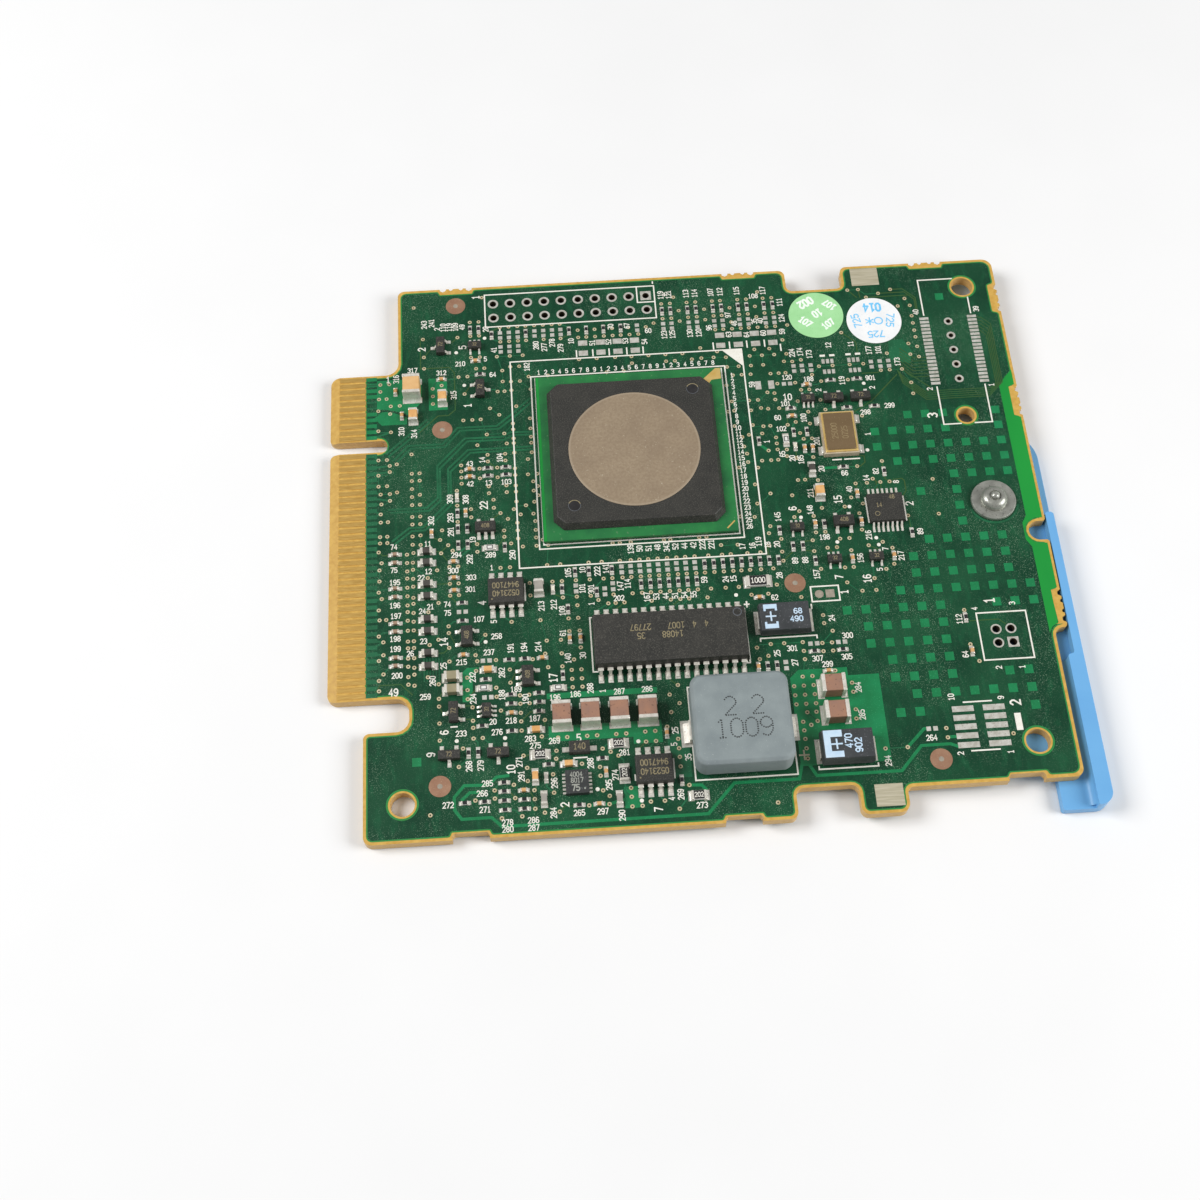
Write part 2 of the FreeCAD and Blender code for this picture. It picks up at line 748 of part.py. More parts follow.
memory_row = centred_row(16, 1.27)
eight_row = centred_row(4, 1.27)
logic_row = centred_row(7, 0.65)
leaded_group("memory_chip", "memory", [((MEMORY_CHIP,), memory_row, memory_row)], small=False)
leaded_group("power_switch", "eight", [(EIGHT_LEAD_CHIPS, eight_row, eight_row)], small=False)
leaded_group("logic_chip", "logic", [((LOGIC_CHIP,), logic_row, logic_row)])
leaded_group("transistor", "transistor", [(TRANSISTORS, (-0.95, 0.95), (0,))])
leaded_group("regulator", "regulator", [
    (FIVE_LEAD_REGULATORS, (-0.95, 0, 0.95), (-0.95, 0.95)),
    (FOUR_LEAD_RESETS, (-0.95, 0.95), (-0.95, 0.95)),
])
leaded_group("logic_gate", "gate", [
    (SIX_LEAD_GATES, (-0.65, 0, 0.65), (-0.65, 0, 0.65)),
    (FIVE_LEAD_GATES, (-0.65, 0, 0.65), (-0.65, 0.65)),
])

# ---------------------------------------------------------------- leadless power controller

LEADLESS_CHIP = (32.35, -52.45)
leadless = slab("power_controller_body", "leadless_length", "leadless_width", "leadless_height")
leadless.Placement = place(*LEADLESS_CHIP)
keep("power_controller_body", leadless)

land = slab("land_master", "land_length", "land_width", "land_height")
land_places = []
for side in (-1, 1):
    reach = side * (size("leadless_length") + size("land_length")) / 2
    land_places += [place(LEADLESS_CHIP[0] + reach, LEADLESS_CHIP[1] + offset)
                    for offset in centred_row(6, 0.5)]
group("power_controller_lands", [(land, land_places)])

# ---------------------------------------------------------------- two-terminal power parts

DIODE = (32.9, -47.75)
diode = slab("diode_body", "diode_length", "diode_width", "diode_height")
diode.Placement = place(*DIODE)
keep("diode_body", diode)
strap = slab("diode_strap_master", "diode_strap_reach", "diode_strap_width", "diode_strap_height")
strap_x = (size("diode_length") + size("diode_strap_reach")) / 2
group("diode_straps", [(strap, [place(DIODE[0] + side * strap_x, DIODE[1]) for side in (-1, 1)])])

INDUCTOR = (53.9, -46.6)
inductor = new_body("power_inductor_body")
inductor_plan = new_sketch(inductor, "inductor_plan", height="sizes.inductor_bottom")
half_length = size("inductor_length") / 2
half_width = size("inductor_width") / 2
add_rounded_outline(inductor_plan, [
    (-half_length, -half_width, size("inductor_corner")),
    (half_length, -half_width, size("inductor_corner")),
    (half_length, half_width, size("inductor_corner")),
    (-half_length, half_width, size("inductor_corner")),
])
inductor_pad = pad(inductor, inductor_plan, "sizes.inductor_top - sizes.inductor_bottom", "inductor_pad")
doc.recompute()
rim = edges_where(inductor_pad.Shape, lambda p: abs(p.z - size("inductor_top")) < 1e-6)
bevel = inductor.newObject("PartDesign::Chamfer", "inductor_top_chamfer")
bevel.Base = (inductor_pad, rim)
bevel.setExpression("Size", "sizes.inductor_top_bevel")
doc.recompute()
sole = edges_where(bevel.Shape, lambda p: abs(p.z - size("inductor_bottom")) < 1e-6)
under = inductor.newObject("PartDesign::Chamfer", "inductor_under_chamfer")
under.Base = (bevel, sole)
under.setExpression("Size", "sizes.inductor_under_chamfer")
inductor.Tip = under
inductor.Placement = place(*INDUCTOR)
keep("power_inductor_body", inductor)

inductor_strap = new_body("inductor_strap_master")
strap_profile = new_sketch(inductor_strap, "inductor_strap_profile", "XZ_Plane")
strap_thickness = size("inductor_strap_thickness")
strap_reach = size("inductor_strap_reach")
strap_tuck = -size("inductor_strap_tuck")
strap_rise = size("inductor_strap_rise")
add_lines(strap_profile, [
    (strap_tuck, 0), (strap_reach, 0), (strap_reach, strap_thickness),
    (strap_thickness, strap_thickness * 1.6), (strap_thickness, strap_rise), (0, strap_rise),
    (0, strap_thickness), (strap_tuck, strap_thickness),
])
pad(inductor_strap, strap_profile, "sizes.inductor_strap_width", "inductor_strap_pad", symmetric=True)
group("power_inductor_straps", [(inductor_strap, end_places(INDUCTOR, "inductor_length"))])

TANTALUMS = {"tantalum": (67.35, -50.2), "low_tantalum": (61.4, -31.3)}
group("tantalum_capacitor_bodies", [
    (moulded_body(f"{family}_master", family), [place(*spot)])
    for family, spot in TANTALUMS.items()])
group("tantalum_capacitor_straps", [
    (folded_strap(f"{family}_strap_master", family), end_places(spot, f"{family}_length"))
    for family, spot in TANTALUMS.items()])

# ---------------------------------------------------------------- oscillator

OSCILLATOR = (72.5, -2.6, 90)
oscillator = slab("oscillator_base", "oscillator_length", "oscillator_width", "oscillator_base_height")
oscillator.Placement = place(*OSCILLATOR)
keep("oscillator_base", oscillator)
lid = slab("oscillator_lid", "oscillator_lid_length", "oscillator_lid_width", "oscillator_lid_height")
lid.Placement = place(*OSCILLATOR, size("oscillator_base_height"))
keep("oscillator_lid", lid)

# ---------------------------------------------------------------- chip capacitors

bulk = banded_chip("bulk_capacitor_master", "bulk")
group("bulk_ceramic_capacitors", [(bulk,
      upright([(30.85, -43.25), (34.6, -43.25), (38.4, -43.25), (42.1, -43.25)])
      + flat([(66.65, -41.45), (66.65, -45.2)]))])
group("input_ceramic_capacitor", [(bulk, upright([(11.85, 9.05)]))])

medium = slab("medium_capacitor_master", "medium_length", "medium_width", "medium_height")
group("medium_ceramic_capacitors", [(medium,
      upright([(11.95, 4.6), (16.2, 7.45), (68.65, -11.8), (28.7, -24.1)])
      + flat([(16.6, -36.6), (16.6, -38.5)]))])

small = slab("small_capacitor_master", "small_length", "small_width", "small_height")
group("small_ceramic_capacitors", [(small,
      upright([(27.0, -51.2), (28.0, -54.3), (37.65, -54.9)])
      + flat([(21.4, -35.8), (27.4, -44.75), (31.4, -49.75)]))])

TINY_CAPACITORS_UPRIGHT = [
    (9.4, 9.1), (10.3, 4.95), (17.9, -9.1), (19.05, -11.6), (14.25, -14.6),
    (30.6, -24.4), (32.5, -31.95), (33.95, -31.95), (44.4, -46.3), (36.15, -51.1), (28.4, -51.4),
    (66.15, -4.0), (67.45, -4.4), (68.6, -4.4), (73.9, -12.2), (67.45, -16.7), (73.9, -16.7),
    (71.9, -22.4), (77.65, -22.3), (57.3, -37.75), (85.95, -37.3),
]
TINY_CAPACITORS_FLAT = [
    (21.15, 13.7), (16.1, 10.8), (19.8, -4.65), (19.8, -5.9), (17.2, -19.25), (17.2, -21.75),
    (17.2, -23.7), (18.2, -33.4), (28.7, -34.5), (24.3, -42.15), (25.45, -52.95), (35.0, -55.4),
    (66.25, 1.1), (69.0, 6.3), (58.5, -27.5), (66.5, -38.9),
]
tiny = slab("tiny_capacitor_master", "tiny_length", "tiny_width", "tiny_height")
group("tiny_ceramic_capacitors", [
    (tiny, upright(TINY_CAPACITORS_UPRIGHT) + flat(TINY_CAPACITORS_FLAT)),
])
COUPLING_ROWS = (-17.65, -18.95, -22.9, -24.2, -28.15, -29.4, -33.25, -34.45)
group("coupling_capacitors", [(tiny, [place(9.15, y) for y in COUPLING_ROWS])])

# Decoupling capacitors in rings on the hidden face, between the controller's power balls.
DECOUPLING_ROWS = (-9.5, -4.0, 1.5)
decoupling_height = -size("board_thickness") - size("tiny_height")
group("back_decoupling_capacitors", [(tiny, [
    place(CONTROLLER[0] + x, y, 0, decoupling_height)
    for y in DECOUPLING_ROWS for x in centred_row(4, 3.0)
])])

# ---------------------------------------------------------------- chip resistors

sense = banded_chip("sense_resistor_master", "sense")
group("sense_resistor", [(sense, flat([(58.55, -25.1)]))])

medium_resistor = slab(
    "medium_resistor_master", "medium_length", "medium_width", "medium_resistor_height")
group("medium_resistors", [(medium_resistor,
      upright([(38.5, -51.5)]) + flat([(27.75, -48.2), (38.0, -47.35), (47.8, -55.1)]))])

small_resistor = slab("small_resistor_master", "small_length", "small_width", "small_resistor_height")
group("small_resistors", [(small_resistor,
      upright([(64.95, -2.85)]) + flat([(22.25, -17.45), (20.75, -38.4), (30.6, -39.0)]))])

TINY_RESISTORS_UPRIGHT = [
    # beside and under the expansion header
    (20.5, 19.3), (21.75, 19.3), (23.65, 18.15),
    (28.7, 18.15), (35.1, 18.15), (37.65, 18.15), (40.2, 18.15), (42.75, 18.15),
    *run(49.1, 20.75, 2, 1.25), *run(52.9, 20.75, 2, 1.25), *run(56.7, 20.75, 2, 1.25),
    *run(60.45, 20.75, 2, 1.3), *run(64.3, 20.75, 2, 1.3),
    # left of the controller
    (17.9, -11.65), (17.9, -14.15), (19.2, -14.15), (17.9, -16.7), (19.2, -16.7), (24.3, -17.45),
    # two long rows between the controller and the memory chip
    (33.75, -21.95), (35.65, -21.95), (38.8, -21.95),
    *run(42.65, -24.4, 7, 1.27), *run(51.55, -21.95, 9, 1.275),
    (31.85, -24.4), (36.55, -25.2), (32.5, -27.5), (31.3, -37.2),
    # right of the controller
    (61.1, -2.75), (66.2, -1.6), (68.1, -1.6), (62.4, -17.35), (68.7, -16.8),
    (64.0, -20.0), (65.35, -20.0), (66.8, -22.4), (78.15, -8.9), (80.65, -18.9),
    # around the power parts
    (58.55, -37.75), (59.8, -37.75), (45.8, -52.9), (18.5, -47.4), (19.75, -47.4), (85.9, -32.3),
]
TINY_RESISTORS_FLAT = [
    (21.75, 11.3), (22.35, -4.65), (22.35, -5.9), (24.9, -4.65), (24.9, -5.9),
    (18.2, -25.65), (18.2, -28.35), (24.25, -34.5), (26.35, -34.5), (21.05, -37.15),
    (24.3, -39.55), (24.3, -40.85), (28.0, -39.55), (28.0, -40.85), (27.9, -42.15),
    (20.4, -43.75), (24.25, -44.7), (28.8, -49.65),
    (22.95, -51.75), (22.95, -52.95), *run(17.85, -54.2, 4, 2.54), (22.95, -55.45), (25.45, -55.45),
    (32.45, -55.4), (35.8, -49.25),
    (66.25, 2.4), (74.3, 2.0), (78.3, 2.0), (72.55, 6.85), (76.4, 6.85), (72.5, -7.85),
    (65.0, -35.95), (68.8, -35.95),
]
tiny_resistor = slab("tiny_resistor_master", "tiny_length", "tiny_width", "tiny_resistor_height")
group("tiny_resistors", [
    (tiny_resistor, upright(TINY_RESISTORS_UPRIGHT) + flat(TINY_RESISTORS_FLAT)),
])

# ---------------------------------------------------------------- filter beads

BEAD_ROWS = (-17.5, -19.25, -22.55, -24.4, -27.85, -29.65, -32.9, -34.8)
bead = slab("filter_bead_master", "bead_length", "bead_width", "bead_height")
group("filter_beads", [(bead, [place(13.5, y) for y in BEAD_ROWS] + upright([(68.05, -7.9)]))])

# ---------------------------------------------------------------- round paper labels

LABELS = {"green_paper_label": (71.85, 18.45), "white_paper_label": (80.3, 16.9)}
for label, (x, y) in LABELS.items():
    disc = doc.addObject("Part::Prism", label)
    disc.Polygon = 36
    disc.setExpression("Circumradius", "sizes.label_radius")
    disc.setExpression("Height", "sizes.label_thickness")
    disc.Placement = place(x, y)
    keep(label, disc)

# ---------------------------------------------------------------- rivet

PIVOT = (size("pivot_x"), size("pivot_y"))
LEVER_TOP = -BOARD_TOP - size("lever_gap")
LEVER_BOTTOM = LEVER_TOP - size("lever_thickness")
RECESS_FLOOR = LEVER_BOTTOM + size("lever_recess_depth")
HEAD_TOP = RECESS_FLOOR - size("lever_gap")
WASHER_TOP = BOARD_TOP + size("washer_thickness")

# Section of the rivet from its factory head, up the shank, to the set bulb on the washer.
shank = size("rivet_shank_radius")
bulb = size("rivet_bulb_radius")
head = size("rivet_head_radius")
rivet = new_body("lever_rivet")
rivet_section = new_sketch(rivet, "rivet_section", "XZ_Plane")
bulb_height = size("rivet_bulb_height")
bulb_top = WASHER_TOP + bulb_height
head_bottom = HEAD_TOP - size("rivet_head_height")
add_lines(rivet_section, [
    (0, head_bottom), (head - 0.4, head_bottom), (head, HEAD_TOP), (shank, HEAD_TOP),
    (shank, WASHER_TOP), (bulb, WASHER_TOP), (0.84 * bulb, WASHER_TOP + 0.62 * bulb_height),
    (size("mandrel_radius"), bulb_top), (0, bulb_top),
])
turned = rivet.newObject("PartDesign::Revolution", "rivet_turned")
turned.Profile = rivet_section
turned.ReferenceAxis = (rivet_section, ["V_Axis"])
turned.Angle = 360
rivet.Placement = FreeCAD.Placement(Vector(*PIVOT, 0), FreeCAD.Rotation())
keep("lever_rivet", rivet)

washer = new_body("rivet_washer")
washer_plan = new_sketch(washer, "washer_plan")
add_circle(washer_plan, 0, 0, "sizes.washer_radius")
add_circle(washer_plan, 0, 0, "sizes.rivet_shank_radius")
pad(washer, washer_plan, "sizes.washer_thickness", "washer_pad")
washer.Placement = place(*PIVOT)
keep("rivet_washer", washer)

mandrel = doc.addObject("Part::Prism", "rivet_mandrel")
mandrel.Polygon = 16
mandrel.setExpression("Circumradius", "sizes.mandrel_radius")
mandrel.setExpression("Height", "sizes.mandrel_height")
mandrel.Placement = place(*PIVOT, 0, size("washer_thickness") + bulb_height)
keep("rivet_mandrel", mandrel)

# ---------------------------------------------------------------- release lever

OUTER = size("lever_outer_edge")
INNER = size("lever_inner_edge")
LEVER_END = size("lever_bottom_end")
RIB_STEP = size("lever_rib_step")
RIB_END = size("lever_rib_top_end")

lever = new_body("release_lever")
plate_plan = new_sketch(lever, "lever_plate_plan", height=LEVER_BOTTOM)
add_rounded_outline(plate_plan, [
    (INNER, size("lever_top_end"), 3.0), (OUTER, size("lever_top_end"), 5.0),
    (OUTER, LEVER_END, 1.8), (size("lever_tab_inner_edge"), LEVER_END, 0.4),
    (size("lever_tab_inner_edge"), size("lever_step_y"), 1.0),
    (INNER, size("lever_step_y"), 2.0),
])
pad(lever, plate_plan, "sizes.lever_thickness", "lever_plate")

# Stiffening rib that stands up beside the board, level with its component face.
rib_plan = new_sketch(lever, "lever_rib_plan", height=LEVER_TOP)
add_rounded_outline(rib_plan, [
    (size("lever_thin_rib_edge"), RIB_END, 0.3), (OUTER, RIB_END, 0.5),
    (OUTER, LEVER_END, 1.8), (size("lever_thick_rib_edge"), LEVER_END, 0.2),
    (size("lever_thick_rib_edge"), RIB_STEP, 0.4),
    (size("lever_thin_rib_edge"), RIB_STEP, 0.4),
])
pad(lever, rib_plan, "sizes.board_thickness + sizes.lever_gap", "lever_rib")
# Concave root that blends the thick part of the rib into the plate.
root_start = -RIB_STEP + 0.4
root = new_sketch(lever, "lever_rib_root_section", "XZ_Plane", root_start)
root_radius = size("lever_rib_fillet")
root_x = size("lever_thick_rib_edge") + 0.1
toe = Vector(root_x - 0.1 - root_radius, LEVER_TOP, 0)
crest = Vector(root_x - 0.1, LEVER_TOP + root_radius, 0)
hollow = Vector(toe.x + root_radius * math.sin(math.radians(45)),
                crest.y - root_radius * math.cos(math.radians(45)), 0)
root.addGeometry(Part.Arc(toe, hollow, crest), False)
for start, end in ((crest, Vector(root_x, crest.y, 0)),
                   (Vector(root_x, crest.y, 0), Vector(root_x, LEVER_TOP - 0.1, 0)),
                   (Vector(root_x, LEVER_TOP - 0.1, 0), Vector(toe.x, LEVER_TOP - 0.1, 0)),
                   (Vector(toe.x, LEVER_TOP - 0.1, 0), toe)):
    root.addGeometry(Part.LineSegment(start, end), False)
pad(lever, root, -LEVER_END - 0.4 - root_start, "lever_rib_root")

pivot_bore = new_sketch(lever, "lever_pivot_bore", height=LEVER_BOTTOM)
add_circle(pivot_bore, *PIVOT, "sizes.lever_hole_radius")
pocket(lever, pivot_bore, name="lever_pivot_bore_pocket")
head_recess = new_sketch(lever, "lever_head_recess", height=LEVER_BOTTOM)
add_circle(head_recess, *PIVOT, "sizes.lever_recess_radius")
pocket(lever, head_recess, "sizes.lever_recess_depth", "lever_head_recess_pocket", reverse=True)
keep("release_lever", lever)

# ---------------------------------------------------------------- check and write

doc.recompute()
for item in doc.Objects:
    if "Invalid" in item.State or "Error" in item.State:
        raise RuntimeError(f"{item.Name} did not build: {item.State}")

os.makedirs("parts", exist_ok=True)
for label, piece in nodes.items():
    shape = piece.Shape
    if shape.isNull() or not shape.isValid():
        raise RuntimeError(f"{label} has no valid shape")
    shape.exportStep(os.path.join("parts", f"{label}.step"))
    print(f"{label:32s} {len(shape.Solids):4d} solids {shape.Volume:10.2f} mm3")
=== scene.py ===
"""Looks of the storage controller card: finishes, printed artwork, solder and soft light.

Shapes are written in millimetres in the frame of the part, with the board lying in XY and
its component face up, and are scaled to metres where a mesh is made.
"""
import math
import random

import bmesh
import bpy
from mathutils import Matrix, Vector


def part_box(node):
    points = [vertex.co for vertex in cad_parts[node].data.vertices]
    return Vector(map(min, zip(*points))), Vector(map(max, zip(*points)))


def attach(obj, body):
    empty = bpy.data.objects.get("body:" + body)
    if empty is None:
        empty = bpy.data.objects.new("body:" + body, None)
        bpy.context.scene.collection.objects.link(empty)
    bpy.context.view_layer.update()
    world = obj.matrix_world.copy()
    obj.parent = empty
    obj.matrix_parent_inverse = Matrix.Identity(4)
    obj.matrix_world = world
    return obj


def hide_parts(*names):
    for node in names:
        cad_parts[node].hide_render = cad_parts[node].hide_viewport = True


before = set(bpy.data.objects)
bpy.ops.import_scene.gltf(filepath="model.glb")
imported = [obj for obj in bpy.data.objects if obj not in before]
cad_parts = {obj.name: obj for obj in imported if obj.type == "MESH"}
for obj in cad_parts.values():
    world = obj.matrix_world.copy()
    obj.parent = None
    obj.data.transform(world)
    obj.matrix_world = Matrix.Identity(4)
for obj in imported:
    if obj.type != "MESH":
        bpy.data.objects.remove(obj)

MM = 0.001
random.seed(7)

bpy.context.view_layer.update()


def box_mm(node):
    low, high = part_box(node)
    return low / MM, high / MM


BOARD_LOW, BOARD_HIGH = box_mm("printed_circuit_board")
TOP = BOARD_HIGH.z
BACK = BOARD_LOW.z
LAYER = 0.012                       # thickness of one printed layer
MASK = (TOP, TOP + LAYER)
COPPER = (TOP, TOP + 1.8 * LAYER)
TIN = (TOP, TOP + 2.6 * LAYER)
INK = (TOP, TOP + 3.4 * LAYER)
BACK_MASK = (BACK - LAYER, BACK)
BACK_COPPER = (BACK - 1.8 * LAYER, BACK)
BACK_TIN = (BACK - 2.6 * LAYER, BACK)


def tenths(text, mark=None):
    """Millimetres from a list written in tenths."""
    return [float(number) / 10 for number in text.split(mark)]


def places(text):
    """Points from a list of x,y pairs in tenths."""
    return [tuple(tenths(pair, ",")) for pair in text.split()]


def paths(text):
    return [places(path) for path in text.split("/")]

# ---------------- shader helpers


def srgb(red, green, blue):
    """Linear colour from three 0-255 display values."""
    def linear(value):
        value /= 255
        return value / 12.92 if value <= 0.04045 else ((value + 0.055) / 1.055) ** 2.4
    return (linear(red), linear(green), linear(blue), 1.0)


class Flow:
    """One shader socket on which sums are written as ordinary Python."""

    def __init__(self, paint, socket):
        self.paint = paint
        self.socket = socket

    def math(self, operation, *operands):
        inputs = dict(enumerate(operands))
        return self.paint.node("ShaderNodeMath", {"operation": operation}, inputs)

    def __add__(self, other):
        return self.math("ADD", self, other)

    def __sub__(self, other):
        return self.math("SUBTRACT", self, other)

    def __rsub__(self, other):
        return self.math("SUBTRACT", other, self)

    def __mul__(self, other):
        return self.math("MULTIPLY", self, other)

    def absolute(self):
        return self.math("ABSOLUTE", self)

    def spread(self, low, high):
        """0 below low, 1 above high, straight in between."""
        return self.paint.node("ShaderNodeMapRange", {"clamp": True},
                               {"Value": self, "From Min": low, "From Max": high})

    __radd__ = __add__
    __rmul__ = __mul__


class Paint:
    """A material and the nodes that feed its shader."""

    def __init__(self, name, **constants):
        self.material = bpy.data.materials.new(name)
        self.material.use_nodes = True
        self.tree = self.material.node_tree
        self.shader = self.tree.nodes["Principled BSDF"]
        self.feed({key.replace("_", " "): value for key, value in constants.items()})

    def fill(self, node, inputs):
        for name, value in inputs.items():
            socket = node.inputs[name] if isinstance(name, int) else next(
                s for s in node.inputs if s.name == name and s.enabled)
            if isinstance(value, Flow):
                self.tree.links.new(value.socket, socket)
            else:
                socket.default_value = value

    def feed(self, inputs):
        self.fill(self.shader, inputs)

    def node(self, kind, settings, inputs, output=None):
        made = self.tree.nodes.new(kind)
        for key, value in settings.items():
            setattr(made, key, value)
        self.fill(made, inputs)
        sockets = [s for s in made.outputs if s.enabled and output in (None, s.name)]
        return Flow(self, sockets[0])

    def spot(self, x=1.0, y=1.0, z=1.0):
        """Place on the piece in millimetres, stretched along each axis."""
        here = self.node("ShaderNodeTexCoord", {}, {}, "Object")
        return self.node("ShaderNodeVectorMath", {"operation": "MULTIPLY"},
                         {0: here, 1: (x / MM, y / MM, z / MM)})

    def noise(self, scale, detail=3.0, stretch=(1.0, 1.0, 1.0)):
        return self.node("ShaderNodeTexNoise", {},
                         {"Vector": self.spot(*stretch), "Scale": scale, "Detail": detail}, "Fac")

    def facing(self, axis):
        """Component of the surface direction along one axis of the piece."""
        normal = self.node("ShaderNodeTexCoord", {}, {}, "Normal")
        return self.node("ShaderNodeSeparateXYZ", {}, {"Vector": normal}, axis)

    def mix(self, factor, first, second):
        return self.node("ShaderNodeMix", {"data_type": "RGBA"},
                         {"Factor": factor, "A": first, "B": second})

    def bump(self, height, depth, strength=1.0):
        self.feed({"Normal": self.node("ShaderNodeBump", {}, {
            "Height": height, "Distance": depth * MM, "Strength": strength})})


def finish(name, base, second, scale, rough, specks=None, speck_scale=6.0, speck_level=0.66,
           grain=0.01, grain_scale=9.0, stretch=(1.0, 1.0, 1.0), **constants):
    """Mottled finish: two colours in broad patches, optional specks, uneven sheen and grain."""
    paint = Paint(name, **constants)
    patches = paint.noise(scale, 4.0, stretch)
    colour = paint.mix(patches.spread(0.32, 0.68), srgb(*base), srgb(*second))
    if specks:
        dots = paint.noise(speck_scale, 1.0).spread(speck_level, speck_level + 0.06)
        colour = paint.mix(dots, colour, srgb(*specks))
    grains = paint.noise(grain_scale, 2.0, stretch)
    paint.feed({"Base Color": colour,
                "Roughness": grains * (rough[1] - rough[0]) + rough[0]})
    paint.bump(grains, grain)
    return paint.material


def laminate():
    """Bare glass laminate: gold-tan on its faces, cream with fibre lines where it was cut."""
    paint = Paint("bare_laminate", Specular_IOR_Level=0.35)
    face = paint.facing("Z").absolute().spread(0.6, 0.9)
    fibres = paint.noise(3.0, 3.0, (0.6, 0.6, 9.0)).spread(0.35, 0.65)
    cut = paint.mix(fibres, srgb(192, 154, 92), srgb(216, 182, 122))
    weave = paint.noise(1.4, 4.0).spread(0.3, 0.7)
    flat = paint.mix(weave, srgb(192, 148, 66), srgb(212, 172, 88))
    paint.feed({"Base Color": paint.mix(face, cut, flat), "Roughness": weave * 0.15 + 0.42})
    paint.bump(fibres, 0.01, 0.5)
    return paint.material


def solder_mask():
    """Green lacquer over buried copper: soft mottling, faint tracks and a dusting of specks."""
    paint = Paint("solder_mask", Coat_Weight=0.12, Coat_Roughness=0.2, Specular_IOR_Level=0.25)
    cloudy = paint.noise(0.11, 3.0).spread(0.35, 0.68)
    buried = paint.noise(1.1, 2.0, (1.0, 0.35, 1.0)).spread(0.5, 0.75)
    deep = paint.mix(cloudy, srgb(5, 58, 36), srgb(22, 76, 48))
    tracks = paint.mix(buried * 0.35, deep, srgb(26, 102, 64))
    dusty = paint.noise(0.12, 2.0).spread(0.44, 0.6)
    dust = paint.noise(8.5, 1.0).spread(0.61, 0.71) * (dusty * 0.5 + 0.12)
    grains = paint.noise(2.2, 3.0)
    paint.feed({"Base Color": paint.mix(dust, tracks, srgb(150, 178, 150)),
                "Roughness": grains * 0.22 + 0.3})
    paint.bump(grains, 0.012, 0.4)
    return paint.material


def gold_plate():
    """Gold-plated contact with fine lengthwise wipe marks."""
    paint = Paint("gold_plate", Metallic=0.75)
    wipes = paint.noise(2.4, 3.0, (0.25, 5.0, 1.0)).spread(0.3, 0.7)
    paint.feed({"Base Color": paint.mix(wipes, srgb(214, 166, 84), srgb(232, 194, 114)),
                "Roughness": wipes * 0.15 + 0.3})
    paint.bump(wipes, 0.006, 0.4)
    return paint.material


def heat_slug(centre, radius):
    """Nickel disc with a sandy, slightly soiled face and a cleaner rim."""
    paint = Paint("heat_slug", Metallic=0.25, Specular_IOR_Level=0.4)
    sand = paint.noise(2.6, 4.0)
    soil = paint.noise(0.22, 3.0).spread(0.35, 0.7)
    base = paint.mix(soil, srgb(152, 134, 112), srgb(164, 146, 122))
    specks = paint.noise(4.5, 1.0).spread(0.7, 0.78)
    sandy = paint.mix(sand.spread(0.4, 0.62) * 0.45, base, srgb(136, 118, 96))
    grey = paint.mix(specks * 0.6, sandy, srgb(205, 195, 172))
    from_centre = paint.node("ShaderNodeVectorMath", {"operation": "SUBTRACT"},
                             {0: paint.spot(), 1: tuple(centre)})
    reach = paint.node("ShaderNodeVectorMath", {"operation": "LENGTH"}, {0: from_centre}, "Value")
    rim = 1 - (reach - radius).absolute().spread(0.21, 0.35)
    paint.feed({"Base Color": paint.mix(rim * 0.5, grey, srgb(176, 160, 138)),
                "Roughness": sand * 0.3 + 0.42})
    paint.bump(sand, 0.02, 0.6)
    return paint.material


